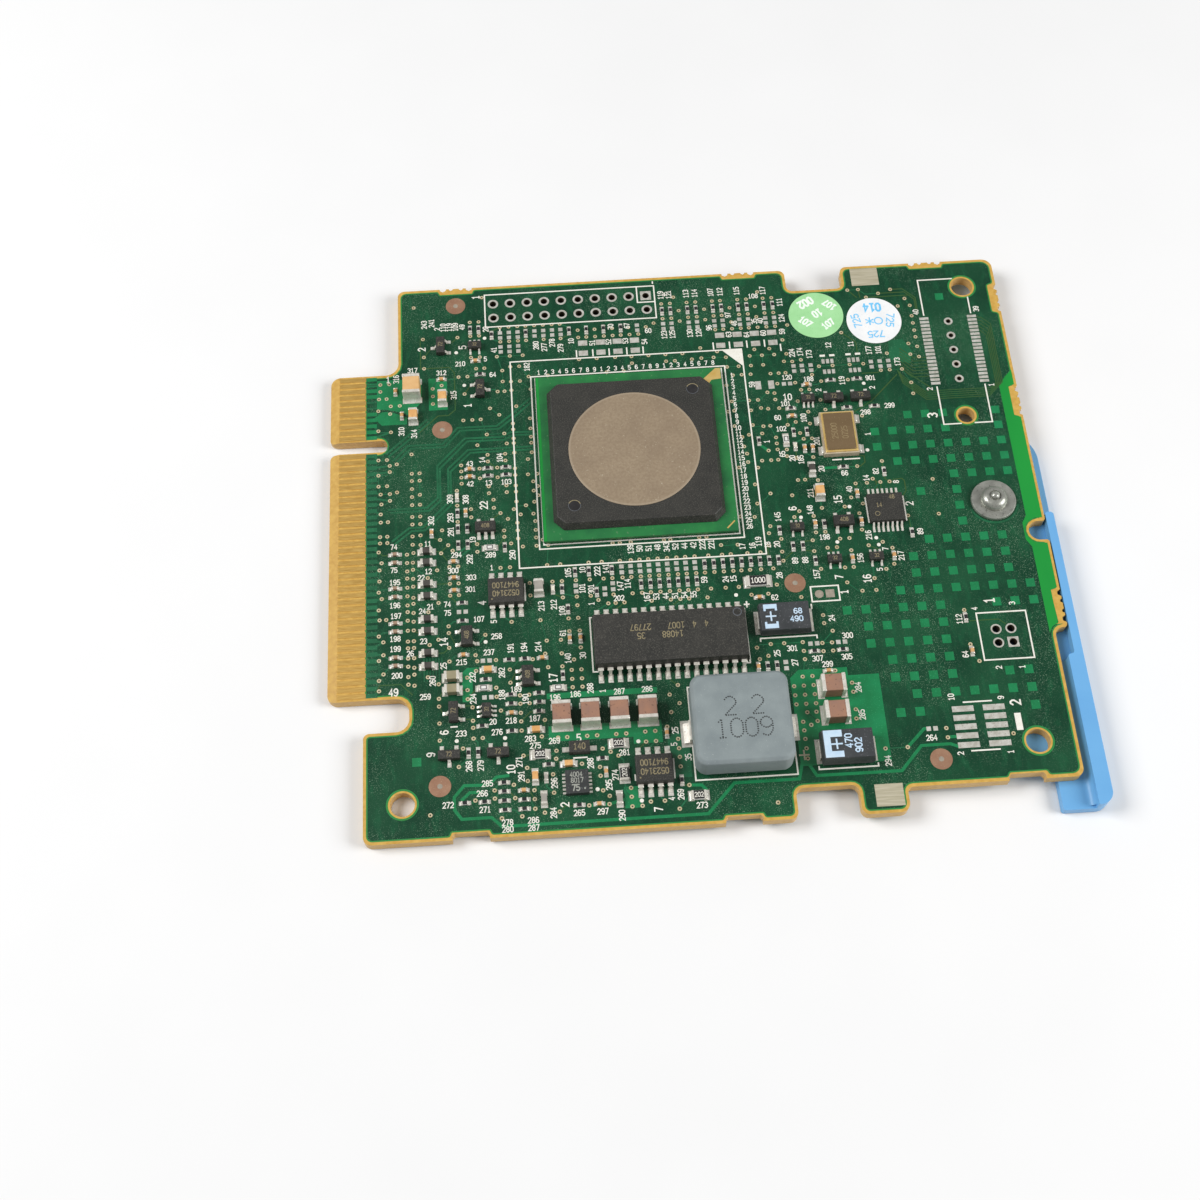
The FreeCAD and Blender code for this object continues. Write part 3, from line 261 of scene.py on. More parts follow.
# Finish, material, its two colours, breadth of the patches, least and most rough, the rest.
# Among these, the dark hole wall and via bore finishes are painted shade, and the bright edge green
# is painted light.
FINISH_ROWS = """
    mask_edge thin_mask 48,130,58 36,132,68 0.5 0.3,0.42 /
    bright_copper copper_under_mask 6,114,64 14,128,76 0.5 0.3,0.45 specks=50,150,96
        Coat_Weight=0.2 /
    bright_flood copper_band_under_mask 6,138,50 20,152,54 0.16 0.3,0.45 stretch=1.0,0.2,1.0
        Coat_Weight=0.2 /
    dull_copper track_under_mask 12,86,52 20,102,64 0.4 0.32,0.48 specks=70,134,96 Coat_Weight=0.2 /
    olive_copper thin_track_under_mask 58,84,38 46,90,44 0.5 0.32,0.48 /
    via_metal via_ring 214,202,170 192,174,134 2.0 0.35,0.55 specks=232,224,200 Metallic=0.2 /
    bore_shade hole_wall 44,37,25 66,57,40 2.0 0.45,0.65 /
    via_dark via_bore 46,37,24 66,55,36 3.0 0.6,0.8 /
    tin tinned_pad 196,192,180 228,226,218 1.6 0.28,0.5 specks=150,142,122 grain=0.03
        grain_scale=2.5 Metallic=0.45 /
    tin_brushed wiped_tin_pad 186,178,150 212,204,180 1.1 0.3,0.5 stretch=0.25,4.0,1.0
        Metallic=0.35 /
    copper_pad bare_copper_pad 158,118,94 172,134,108 0.7 0.35,0.5 specks=190,160,132
        Metallic=0.35 /
    dull_probe probe_dimple 142,134,120 166,156,140 2.0 0.35,0.5 /
    solder solder_joint 222,219,208 244,242,234 1.8 0.22,0.42 specks=150,146,130 grain=0.02
        grain_scale=3.0 Metallic=0.4 /
    ink white_ink 228,224,212 240,237,228 1.2 0.5,0.7 specks=196,196,178 grain=0.01 /
    mould mould_compound 38,38,35 50,49,45 0.5 0.42,0.62 specks=72,70,64 speck_scale=7.0
        speck_level=0.56 grain=0.02 grain_scale=5.0 /
    blue_mould blue_black_mould 45,47,47 55,57,57 0.6 0.42,0.6 specks=84,88,88 speck_scale=5.0
        grain=0.02 grain_scale=5.0 /
    pale_mark pale_laser_mark 146,148,140 164,166,156 2.0 0.5,0.7 /
    mould_mark laser_mark 150,138,106 126,116,88 2.0 0.5,0.7 /
    mould_edge polished_mould 92,96,102 112,116,124 1.0 0.3,0.45 /
    package_laminate package_laminate 24,102,54 36,124,62 0.35 0.35,0.5 specks=92,132,92
        speck_scale=3.0 speck_level=0.71 Coat_Weight=0.15 /
    lead tinned_lead 216,210,198 240,236,226 1.4 0.25,0.45 specks=160,150,128 Metallic=0.35 /
    ferrite ferrite_block 124,134,136 138,148,149 0.35 0.5,0.7 specks=150,159,159 speck_scale=4.0
        speck_level=0.7 grain=0.03 /
    ferrite_mark dark_print 46,50,50 62,66,66 2.0 0.55,0.75 /
    tantalum tantalum_case 52,55,57 63,66,68 0.5 0.4,0.6 specks=98,98,102 speck_scale=5.0
        grain=0.015 /
    tantalum_mark pale_blue_print 184,210,232 202,222,238 1.2 0.5,0.7 /
    ceramic_base ceramic_housing 176,160,136 194,180,156 0.8 0.4,0.55 /
    bronze bronze_lid 116,95,66 130,108,78 0.3 0.32,0.5 specks=150,130,96 stretch=0.3,1.0,1.0
        Metallic=0.3 /
    lid_mark lid_mark 140,122,88 152,134,98 2.0 0.4,0.55 /
    gold_rim gold_rim 230,190,106 240,208,134 0.8 0.3,0.42 Metallic=0.5 /
    brown brown_ceramic 146,112,96 162,120,96 0.6 0.42,0.58 specks=120,90,74 speck_scale=3.0
        grain=0.02 /
    tan tan_ceramic 214,160,96 228,180,118 0.9 0.4,0.58 specks=184,130,74 /
    dark_tan small_tan_ceramic 196,146,92 212,166,112 0.9 0.4,0.58 specks=170,122,72 /
    beige beige_ceramic 212,166,108 224,182,126 0.9 0.42,0.6 /
    pale pale_ceramic 216,208,190 228,222,206 0.9 0.42,0.6 /
    grey grey_ceramic 150,146,138 166,160,150 0.9 0.42,0.6 /
    olive olive_ceramic 142,134,104 154,146,118 0.9 0.42,0.6 /
    umber umber_ceramic 148,122,100 164,138,116 0.9 0.42,0.6 /
    alumina alumina 222,220,214 234,232,226 1.2 0.5,0.65 /
    film resistor_film 34,33,34 46,45,46 1.2 0.25,0.45 /
    bead ferrite_bead 62,58,54 78,74,68 1.0 0.4,0.6 /
    green_paper green_paper 156,214,150 166,222,160 0.6 0.6,0.8 specks=140,202,136 grain=0.01 /
    white_paper white_paper 233,234,235 242,242,241 0.6 0.6,0.8 specks=220,224,228 grain=0.01 /
    blue_print blue_print 104,190,238 124,204,246 1.4 0.55,0.75 /
    white_print white_print 236,246,234 246,250,244 1.4 0.55,0.75 /
    steel tumbled_steel 156,157,149 184,185,176 0.9 0.24,0.45 specks=128,128,122 speck_scale=3.5
        grain=0.03 grain_scale=2.5 Metallic=0.65 /
    plastic blue_plastic 105,168,220 112,175,225 0.12 0.32,0.44 grain=0.01 grain_scale=2.0
        Specular_IOR_Level=0.5"""
FINISHES = {"laminate": laminate(), "mask": solder_mask(), "gold": gold_plate()}


def listed(text):
    values = tuple(float(value) for value in text.split(","))
    return values if len(values) > 1 else values[0]


for row in FINISH_ROWS.split("/"):
    key, name, base, second, scale, rough, *rest = row.split()
    rest = {option: listed(value) for option, value in (item.split("=") for item in rest)}
    FINISHES[key] = finish(name, listed(base), listed(second), listed(scale), listed(rough), **rest)

# ---------------- shape helpers


def arc(centre, radius, start, end, steps):
    """Points along an arc, angles in degrees."""
    turns = [math.radians(start + (end - start) * step / steps) for step in range(steps + 1)]
    return [(centre[0] + radius * math.cos(turn), centre[1] + radius * math.sin(turn))
            for turn in turns]


def circle(x, y, radius, sides=32):
    return arc((x, y), radius, 0, 360, sides)[:-1]


def rectangle(x, y, length, width):
    return [(x - length / 2, y - width / 2), (x + length / 2, y - width / 2),
            (x + length / 2, y + width / 2), (x - length / 2, y + width / 2)]


def between(left, right, low, high):
    return rectangle((left + right) / 2, (low + high) / 2, right - left, high - low)


def rounded(corners, steps=6):
    """Outline through (x, y, radius) corners, each turned into an arc."""
    outline = []
    for index, (x, y, radius) in enumerate(corners):
        here = Vector((x, y))
        back = (Vector(corners[index - 1][:2]) - here).normalized()
        ahead = (Vector(corners[(index + 1) % len(corners)][:2]) - here).normalized()
        half = back.angle(ahead) / 2
        centre = here + (back + ahead).normalized() * (radius / math.sin(half))
        first = here + back * (radius / math.tan(half)) - centre
        last = here + ahead * (radius / math.tan(half)) - centre
        sweep = math.atan2(first.x * last.y - first.y * last.x, first.dot(last))
        start = math.atan2(first.y, first.x)
        outline += arc(centre, radius, math.degrees(start), math.degrees(start + sweep), steps)
    return outline


def bevelled_ring(length, width, cut):
    """Rectangle about the origin with its four corners cut off."""
    x, y = length / 2, width / 2
    return [(x - cut, -y), (x, -y + cut), (x, y - cut), (x - cut, y),
            (-x + cut, y), (-x, y - cut), (-x, -y + cut), (-x + cut, -y)]


class Shape:
    """A mesh being put together, with one finish number for each face."""

    def __init__(self):
        self.points, self.faces, self.finishes = [], [], []
        self.laid = 0

    def swell(self, levels):
        """Levels moved apart a hair further each time, so that no two layers coincide."""
        self.laid += 1
        hair = self.laid * 7 % 23 * 0.00041
        return levels[0] - hair, levels[1] + hair

    def add(self, points, faces, finish=0, move=None):
        first = len(self.points)
        self.points += [move @ Vector(p) if move else Vector(p) for p in points]
        self.faces += [[first + corner for corner in face] for face in faces]
        self.finishes += [finish] * len(faces)

    def loft(self, rings, finish=0, move=None):
        """Skin over rings of equally many points, listed from the bottom up."""
        count = len(rings[0])
        faces = []
        for level in range(len(rings) - 1):
            low, high = level * count, (level + 1) * count
            for side in range(count):
                after = (side + 1) % count
                faces.append([low + side, low + after, high + after, high + side])
        faces += [list(range(count))[::-1],
                  list(range(len(rings) * count - count, len(rings) * count))]
        self.add([point for ring in rings for point in ring], faces, finish, move)

    def prism(self, outline, levels, finish=0, move=None):
        low, high = self.swell(levels)
        self.loft([[(x, y, low) for x, y in outline], [(x, y, high) for x, y in outline]],
                  finish, move)

    def block(self, size, bevel, finish=0, move=None, bottom=0.0):
        """Box with cut corners and a bevelled top and bottom, standing on its bottom level."""
        length, width, height = size
        levels = ((0, bevel), (bevel, 0), (height - bevel, 0), (height, bevel))
        self.loft([[(x, y, bottom + z) for x, y in bevelled_ring(
            length - 2 * inset, width - 2 * inset, bevel)] for z, inset in levels], finish, move)

    def ring(self, x, y, inner, outer, levels, sides=16, finish=0):
        """Flat ring, cut square all round."""
        section = [(inner, levels[0]), (outer, levels[0]), (outer, levels[1]), (inner, levels[1])]
        self.turned(section, (x, y), sides, finish, looped=True)

    def turned(self, section, centre, sides=48, finish=0, looped=False):
        """Section of (radius, height) points turned about an upright line."""
        wheel = circle(0, 0, 1, sides)
        points = [(centre[0] + r * cos, centre[1] + r * sin, z) for cos, sin in wheel
                  for r, z in section]
        count = len(section)
        faces = []
        for turn in range(sides):
            here, after = turn * count, (turn + 1) % sides * count
            for step in range(count if looped else count - 1):
                following = (step + 1) % count
                faces.append([here + step, after + step, after + following, here + following])
        if not looped:
            faces.append([turn * count for turn in range(sides)][::-1])
            faces.append([turn * count + count - 1 for turn in range(sides)])
        self.add(points, faces, finish)

    def strip(self, path, width, levels, finish=0, looped=False):
        """Ribbon of even width along a path, mitred where it bends."""
        spots = [Vector(point) for point in path]
        count = len(spots)
        left, right = [], []
        for index, spot in enumerate(spots):
            before = spots[index - 1] if looped or index else None
            after = spots[(index + 1) % count] if looped or index < count - 1 else None
            along = (spot - before).normalized() if before is not None else None
            onward = (after - spot).normalized() if after is not None else along
            along = along if along is not None else onward
            middle = (along + onward).normalized()
            reach = width / 2 / max(0.5, middle.dot(along))
            side = Vector((-middle.y, middle.x)) * reach
            cap = Vector((0, 0))
            if before is None:
                cap = -onward * width * 0.4
            elif after is None:
                cap = along * width * 0.4
            left.append(spot + cap + side)
            right.append(spot + cap - side)
        low, high = self.swell(levels)
        points = [(p.x, p.y, z) for z in (low, high) for p in left + right]
        faces = []
        for index in range(count if looped else count - 1):
            after = (index + 1) % count
            l0, l1, r0, r1 = index, after, count + index, count + after
            up = 2 * count
            faces += [[l0, l1, r1, r0], [up + r0, up + r1, up + l1, up + l0],
                      [l0, up + l0, up + l1, l1], [r1, up + r1, up + r0, r0]]
        if not looped:
            last, up = count - 1, 2 * count
            faces += [[0, count, up + count, up],
                      [last, up + last, up + count + last, count + last]]
        self.add(points, faces, finish)

    def build(self, name, finishes, slot, body="card", stands_for=(), smooth=30):
        """Makes the piece, gives it its finishes and hangs it on its moving body."""
        mesh = bpy.data.meshes.new(name)
        mesh.from_pydata([point * MM for point in self.points], [], self.faces)
        for face, finish in zip(mesh.polygons, self.finishes):
            face.material_index = finish
        return install(name, mesh, finishes, body, stands_for, smooth)


def steady_shading(mesh, limit):
    """Corner normals weighted by face area, so that flat faces stay flat beside rounded edges."""
    faces = [(face.normal.copy(), face.area, tuple(face.vertices)) for face in mesh.polygons]
    around = [[] for vertex in mesh.vertices]
    for normal, area, corners in faces:
        for corner in corners:
            around[corner].append((normal, normal * area))
    steady = []
    for normal, area, corners in faces:
        for corner in corners:
            total = Vector()
            for other, weighted in around[corner]:
                if other.dot(normal) > limit:
                    total += weighted
            steady.append(total.normalized() if total.length else normal)
    mesh.normals_split_custom_set(steady)


def install(name, mesh, finishes, body="card", stands_for=(), smooth=30):
    for finish in finishes:
        mesh.materials.append(FINISHES[finish])
    mesh.polygons.foreach_set("use_smooth", [True] * len(mesh.polygons))
    mesh.update()
    steady_shading(mesh, math.cos(math.radians(smooth)))
    piece = bpy.data.objects.new(name, mesh)
    bpy.context.scene.collection.objects.link(piece)
    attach(piece, body)
    if stands_for:
        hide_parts(*stands_for)
    return piece


def filled(name, loops, levels, finish):
    """Flat piece bounded by nested outlines: each inner one is a hole in the one around it."""
    curve = bpy.data.curves.new(name + "_outline", "CURVE")
    curve.dimensions = "2D"
    curve.fill_mode = "BOTH"
    curve.extrude = (levels[1] - levels[0]) / 2 * MM
    for loop in loops:
        spline = curve.splines.new("POLY")
        spline.points.add(len(loop) - 1)
        for point, (x, y) in zip(spline.points, loop):
            point.co = (x * MM, y * MM, 0, 1)
        spline.use_cyclic_u = True
    drawn = bpy.data.objects.new(name + "_outline", curve)
    bpy.context.scene.collection.objects.link(drawn)
    bpy.context.view_layer.update()
    mesh = bpy.data.meshes.new_from_object(drawn.evaluated_get(
        bpy.context.evaluated_depsgraph_get()))
    bpy.data.objects.remove(drawn)
    mesh.transform(Matrix.Translation((0, 0, (levels[0] + levels[1]) / 2 * MM)))
    mesh.name = name
    mesh.materials.clear()
    weld(mesh)
    return install(name, mesh, [finish])


def weld(mesh, tidy=False, bevel=0.0, segments=2):
    """Joins touching corners and, on request, merges flat faces and rounds sharp edges."""
    work = bmesh.new()
    work.from_mesh(mesh)
    bmesh.ops.remove_doubles(work, verts=work.verts, dist=1e-6)
    if tidy:
        bmesh.ops.dissolve_limit(work, angle_limit=math.radians(1), verts=work.verts,
                                 edges=work.edges)
    if bevel:
        sharp = [edge for edge in work.edges
                 if len(edge.link_faces) == 2 and edge.calc_face_angle() > math.radians(35)]
        bmesh.ops.bevel(work, geom=sharp, offset=bevel * MM, segments=segments, affect="EDGES",
                        profile=0.5, clamp_overlap=True)
    work.to_mesh(mesh)
    work.free()


def softened(node, name, finishes, bevel, segments=2, body="card"):
    """Copy of a CAD part with rounded edges, which stands for it."""
    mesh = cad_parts[node].data.copy()
    mesh.materials.clear()
    if mesh.attributes.get("custom_normal"):
        mesh.attributes.remove(mesh.attributes["custom_normal"])
    weld(mesh, True, bevel, segments)
    for face in mesh.polygons:
        face.material_index = 0
    return install(name, mesh, finishes, body, (node,), 40)


def islands(node):
    """(centre, size) in millimetres of each separate solid of a CAD part."""
    mesh = bmesh.new()
    mesh.from_mesh(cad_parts[node].data)
    bmesh.ops.remove_doubles(mesh, verts=mesh.verts, dist=1e-6)
    found, seen = [], set()
    for vertex in mesh.verts:
        if vertex in seen:
            continue
        front, group = [vertex], []
        seen.add(vertex)
        while front:
            here = front.pop()
            group.append(here.co / MM)
            for edge in here.link_edges:
                other = edge.other_vert(here)
                if other not in seen:
                    seen.add(other)
                    front.append(other)
        low = Vector([min(p[axis] for p in group) for axis in range(3)])
        high = Vector([max(p[axis] for p in group) for axis in range(3)])
        found.append(((low + high) / 2, high - low))
    mesh.free()
    return found


def upright_move(centre, size):
    """Turns a shape built along X about the origin onto a part, standing on the part's foot."""
    turn = Matrix.Rotation(math.pi / 2 if size.y > size.x else 0, 4, "Z")
    return Matrix.Translation((centre.x, centre.y, centre.z - size.z / 2)) @ turn


# ---------------- two-terminal chips

SOLDER = Shape()
TIN_PADS = Shape()
PAD_ENDS = []                       # (end of pad, direction away from the part), for the tracks

SPECIAL = {                         # odd coloured chips: place, number among the looks
    (17.9, -9.1): 1, (30.6, -24.4): 1, (66.15, -4.0): 1, (28.4, -51.4): 2, (28.0, -54.3): 2,
    (37.65, -54.9): 2, (28.7, -24.1): 2, (16.6, -36.6): 3, (16.6, -38.5): 3,
}


def special_finish(centre):
    for (x, y), number in SPECIAL.items():
        if abs(centre.x - x) < 0.2 and abs(centre.y - y) < 0.2:
            return number
    return 0


def joint(move, half, width, height, reach):
    """Concave solder fillet that climbs the end of a chip, at both ends."""
    curve = ((0.0, height), (0.12, height * 0.5), (0.35, height * 0.22), (0.7, height * 0.08),
             (1.0, 0.02))
    for side in (-1, 1):
        rings = []
        for along, rise in curve:
            x = side * (half - 0.03 + along * reach)
            spread = width / 2 * (1 + 0.1 * math.sin(along * math.pi)) - 0.12 * along * width / 2
            flank = [(x, -spread, 0.0), (x, -spread * 0.94, rise * 0.7), (x, -spread * 0.6, rise),
                     (x, spread * 0.6, rise), (x, spread * 0.94, rise * 0.7), (x, spread, 0.0)]
            rings.append(flank if side > 0 else flank[::-1])
        SOLDER.loft(rings, 0, move)


def chip_pads(move, half, width, reach, inner):
    """Two tinned lands under a chip, and where each one ends."""
    for side in (-1, 1):
        middle = side * ((half - inner) + (half + reach)) / 2
        outline = rectangle(middle, 0, reach + inner, width)
        corners = [move @ Vector((x, y, 0)) for x, y in outline]
        lift = corners[0].z
        levels = TIN if lift > 0 else BACK_TIN
        TIN_PADS.prism([(c.x, c.y) for c in corners], levels)
        if lift > 0:
            tip = move @ Vector((side * (half + reach), 0, 0))
            PAD_ENDS.append((tip, (move.to_3x3() @ Vector((side, 0, 0))).xy))


def dress_chips(node, name, slot, looks, band, fillet=0.31, tall=0.8):
    """Ceramic bodies and metal ends, with a joint and two lands for every chip of a CAD part."""
    cores, ends = Shape(), Shape()
    for centre, size in islands(node):
        length, width = max(size.x, size.y), min(size.x, size.y)
        height = size.z
        move = upright_move(centre, size)
        if centre.z < 0:
            move = move @ Matrix.Translation((0, 0, height)) @ Matrix.Rotation(math.pi, 4, "X")
        edge = min(0.07, height * 0.14)
        core_length = length - band * 1.2
        if slot == "black_film":
            cores.block((core_length, width * 0.96, height * 0.86), edge * 0.5, 1, move, 0.01)
            cores.block((core_length * 0.86, width * 0.9, height * 0.12), 0.015, 0, move,
                        height * 0.86)
        else:
            cores.block((core_length, width * 0.95, height * 0.96), edge, special_finish(centre),
                        move, 0.01)
        for side in (-1, 1):
            shift = move @ Matrix.Translation((side * (length - band) / 2, 0, 0))
            ends.block((band, width, height), edge, 0, shift)
        joint(move, length / 2, width, height * tall, fillet)
        chip_pads(move, length / 2, width * 1.12, fillet + 0.07, band)
    cores.build(name, looks, slot, "card", (node,))
    ends.build(name + "_ends", ["lead"], "tinned_leads", "card", (node,))


# Part, piece, slot, looks, metal band, and at times the reach and the climb of the solder.
CHIPS = """
    bulk_ceramic_capacitors bulk_capacitor_cores brown_ceramic brown 0.5 0.3 0.35
    input_ceramic_capacitor input_capacitor_core tan_ceramic beige 0.5 0.4 0.35
    medium_ceramic_capacitors medium_capacitor_cores tan_ceramic tan,pale,grey,olive 0.4
    small_ceramic_capacitors small_capacitor_cores tan_ceramic tan,pale,grey,olive 0.32
    tiny_ceramic_capacitors tiny_capacitor_cores tan_ceramic dark_tan,pale,grey,olive 0.26 0.2
    coupling_capacitors coupling_capacitor_cores tan_ceramic umber 0.27 0.38
    back_decoupling_capacitors back_capacitor_cores tan_ceramic tan 0.26 0.28
    sense_resistor sense_resistor_core black_film film,alumina 0.5
    medium_resistors medium_resistor_cores black_film film,alumina 0.38
    small_resistors small_resistor_cores black_film alumina,alumina 0.32 0.26
    tiny_resistors tiny_resistor_cores black_film film,alumina 0.24 0.22
    filter_beads filter_bead_cores ferrite_bead bead 0.42 0.38 0.9"""
for row in CHIPS.split("\n")[1:]:
    node, name, slot, looks, *sizes = row.split()
    dress_chips(node, name, slot, looks.split(","), *map(float, sizes))

# ---------------- larger parts from the CAD

# Part, piece, finish, radius of its edges.
ROUNDED_PARTS = """
    controller_substrate controller_laminate package_laminate 0.05
    controller_mould_cap controller_cap mould 0.12
    memory_chip_body memory_case mould 0.09
    memory_chip_leads memory_leads lead 0.05
    power_switch_bodies power_switch_cases mould 0.07
    power_switch_leads power_switch_pins lead 0.04
    logic_chip_body logic_case mould 0.05
    logic_chip_leads logic_pins lead 0.03
    transistor_bodies transistor_cases mould 0.05
    transistor_leads transistor_pins lead 0.03
    regulator_bodies regulator_cases mould 0.05
    regulator_leads regulator_pins lead 0.03
    logic_gate_bodies logic_gate_cases mould 0.04
    logic_gate_leads logic_gate_pins lead 0.025
    power_controller_body power_controller_case blue_mould 0.04
    power_controller_lands power_controller_pins lead 0.02
    diode_body diode_case mould 0.06
    diode_straps diode_pins lead 0.03
    power_inductor_body inductor_case ferrite 0.12
    power_inductor_straps inductor_terminals lead 0.06
    tantalum_capacitor_bodies tantalum_cases tantalum 0.1
    tantalum_capacitor_straps tantalum_terminals lead 0.03
    oscillator_base oscillator_housing ceramic_base 0.08
    front_edge_contacts front_contacts gold 0.012
    back_edge_contacts back_contacts gold 0.012"""
for row in ROUNDED_PARTS.split("\n")[1:]:
    node, name, look, bevel = row.split()
    softened(node, name, [look], float(bevel))
softened("release_lever", "lever_plastic", ["plastic"], 0.22, 4, "lever")

AXIS = 0.01                         # radius at which a turned section stops short of its axis


def turned_piece(node, name, look, slot, section, centre, sides, looped=False):
    """Round part made from its section, which stands for a CAD part."""
    shape = Shape()
    shape.turned(section, centre, sides, 0, looped)
    shape.build(name, [look], slot, "card", (node,))


# Controller: heat slug and its outer row of round solder balls.
slug_low, slug_high = box_mm("controller_heat_slug")
slug_centre = (slug_low + slug_high) / 2
slug_radius = (slug_high.x - slug_low.x) / 2
FINISHES["slug"] = heat_slug(slug_centre, slug_radius)
turned_piece("controller_heat_slug", "heat_slug_disc", "slug", "nickel_slug", [
    (AXIS, slug_low.z), (slug_radius, slug_low.z), (slug_radius, slug_high.z - 0.03),
    (slug_radius - 0.05, slug_high.z), (AXIS, slug_high.z)], slug_centre, 96)

balls = Shape()
for centre, size in islands("controller_solder_balls"):
    radius, tall = 0.3, size.z
    section = [(radius * math.cos(a), centre.z + tall / 2 * math.sin(a) / math.sin(1.0))
               for a in (-1.0, -0.5, 0.0, 0.5, 1.0)]
    balls.turned(section, centre, 10)
balls.build("solder_ball_row", ["solder"], "solder_balls", "card", ("controller_solder_balls",))

# Oscillator lid with its raised gold seam.
lid_low, lid_high = box_mm("oscillator_lid")
lid_middle, lid_size = (lid_low + lid_high) / 2, lid_high - lid_low
lid_place = Matrix.Translation((lid_middle.x, lid_middle.y, lid_low.z))
lid = Shape()
lid.block((lid_size.x, lid_size.y, lid_size.z * 0.55), 0.06, 1, lid_place)
lid.block((lid_size.x - 0.5, lid_size.y - 0.5, lid_size.z * 0.6), 0.1, 0, lid_place,
          lid_size.z * 0.4)
lid.build("oscillator_cover", ["bronze", "gold_rim"], "bronze_lid", "card", ("oscillator_lid",))

# ---------------- rivet and washer

washer_low, washer_high = box_mm("rivet_washer")
PIVOT = (washer_low + washer_high) / 2
washer_radius = (washer_high.x - washer_low.x) / 2
turned_piece("rivet_washer", "rivet_washer_disc", "steel", "zinc_steel", [
    (1.6, washer_low.z), (washer_radius - 0.15, washer_low.z),
    (washer_radius, washer_low.z + 0.12), (washer_radius, washer_high.z - 0.2),
    (washer_radius - 0.07, washer_high.z - 0.06), (washer_radius - 0.22, washer_high.z),
    (2.1, washer_high.z - 0.02), (1.6, washer_high.z - 0.06)], PIVOT, 64, True)

rivet_low, rivet_high = box_mm("lever_rivet")
bulb = rivet_high.z - washer_high.z
head = (rivet_high.x - rivet_low.x) / 2
DOME = ((1.88, 0.14), (1.83, 0.3), (1.72, 0.5), (1.55, 0.68), (1.3, 0.82), (0.98, 0.9),
        (0.82, 0.88), (0.78, 0.72), (AXIS, 0.7))      # radius, share of the dome's height
turned_piece("lever_rivet", "rivet_body", "steel", "zinc_steel", [
    (AXIS, rivet_low.z), (head - 0.45, rivet_low.z), (head - 0.15, rivet_low.z + 0.2),
    (head, rivet_low.z + 0.5), (head - 0.03, rivet_low.z + 0.64), (1.6, rivet_low.z + 0.65),
    (1.6, washer_high.z - 0.05), (1.88, washer_high.z - 0.02)]
    + [(radius, washer_high.z + share * bulb) for radius, share in DOME], PIVOT, 64)

stub_low, stub_high = box_mm("rivet_mandrel")
stub = Shape()
stub_rings = []
for level, reach in ((washer_high.z + 0.65 * bulb, 0.66), (stub_low.z + 0.02, 0.64),
                     (stub_low.z + 0.2, 0.5), (stub_high.z - 0.03, 0.3)):
    stub_rings.append([(PIVOT.x + reach * random.uniform(0.88, 1.04) * math.cos(a),
                        PIVOT.y + reach * random.uniform(0.88, 1.04) * math.sin(a), level)
                       for a in [math.tau * step / 14 for step in range(14)]])
stub.loft(stub_rings)
stub.build("rivet_mandrel_stub", ["steel"], "zinc_steel", "card", ("rivet_mandrel",))

# ---------------- solder mask

GAP = 0.5                           # bare rim left between the lacquer and every edge
CONTACT_END = 5.15
LEFT, RIGHT_EDGE, UPPER, LOWER = 5.3, BOARD_HIGH.x - GAP, BOARD_HIGH.y - GAP, BOARD_LOW.y + GAP
TAB_REACH, TAB_BACK = 2.75, 0.62    # how far the lacquer keeps clear of a break-off tab
TOP_TABS, RIGHT_TABS, BOTTOM_TABS = (18.55, 61.0, 89.3), (19.8, 1.6, -31.4), (18.5, 53.35)


def beside_tab(centre, edge, across, inward, radius, depth=TAB_BACK):
    """Four corners of the dip around a break-off tab, walking the edge forwards or back."""
    return [(centre + across * reach * TAB_REACH, edge + inward * back * depth, radius)
            for reach, back in ((-1, 0), (-0.9, 1), (0.9, 1), (1, 0))]


def right_tab(centre, radius):
    return [(x, y, round_by) for y, x, round_by in
            beside_tab(centre, RIGHT_EDGE, -1, -1, radius, 0.9)]


mask_corners = [
    (CONTACT_END, -38.65, 0.2), (CONTACT_END, -1.45, 0.2), (8.3, -1.45, 1.4), (8.3, 1.45, 1.4),
    (CONTACT_END, 1.45, 0.2), (CONTACT_END, 11.6, 0.2), (10.35, 11.6, 2.3), (10.35, UPPER, 0.8),
    *beside_tab(TOP_TABS[0], UPPER, 1, -1, 0.2), *beside_tab(TOP_TABS[1], UPPER, 1, -1, 0.2),
    (67.5, UPPER, 0.8), (67.5, 22.6, 1.4), (76.9, 22.6, 1.4), (76.9, UPPER, 0.8),
    *beside_tab(TOP_TABS[2], UPPER, 1, -1, 0.2), (RIGHT_EDGE, UPPER, 1.2),
    *right_tab(RIGHT_TABS[0], 0.4), *right_tab(RIGHT_TABS[1], 0.4),
    (RIGHT_EDGE, -17.8, 0.6), (96.35, -17.8, 1.9), (96.35, -21.65, 1.9),
    (RIGHT_EDGE, -21.65, 0.5), *right_tab(RIGHT_TABS[2], 0.2)[:3],
    (RIGHT_EDGE - 0.9, -34.1, 0.3), (97.05, -34.1, 1.6), (97.05, -55.15, 1.0),
    *beside_tab(90.4, -55.15, -1, 1, 0.4), (74.1, -55.15, 1.2), (74.1, LOWER, 0.8),
    (68.9, LOWER, 0.6), (68.9, -54.45, 1.5), (59.75, -54.45, 1.5), (59.75, LOWER, 0.6),
    *beside_tab(BOTTOM_TABS[1], LOWER, -1, 1, 0.3), *beside_tab(BOTTOM_TABS[0], LOWER, -1, 1, 0.3),
    (LEFT, LOWER, 0.7), (LEFT, -44.35, 0.4), (11.35, -44.35, 2.2), (11.35, -38.65, 2.2)]

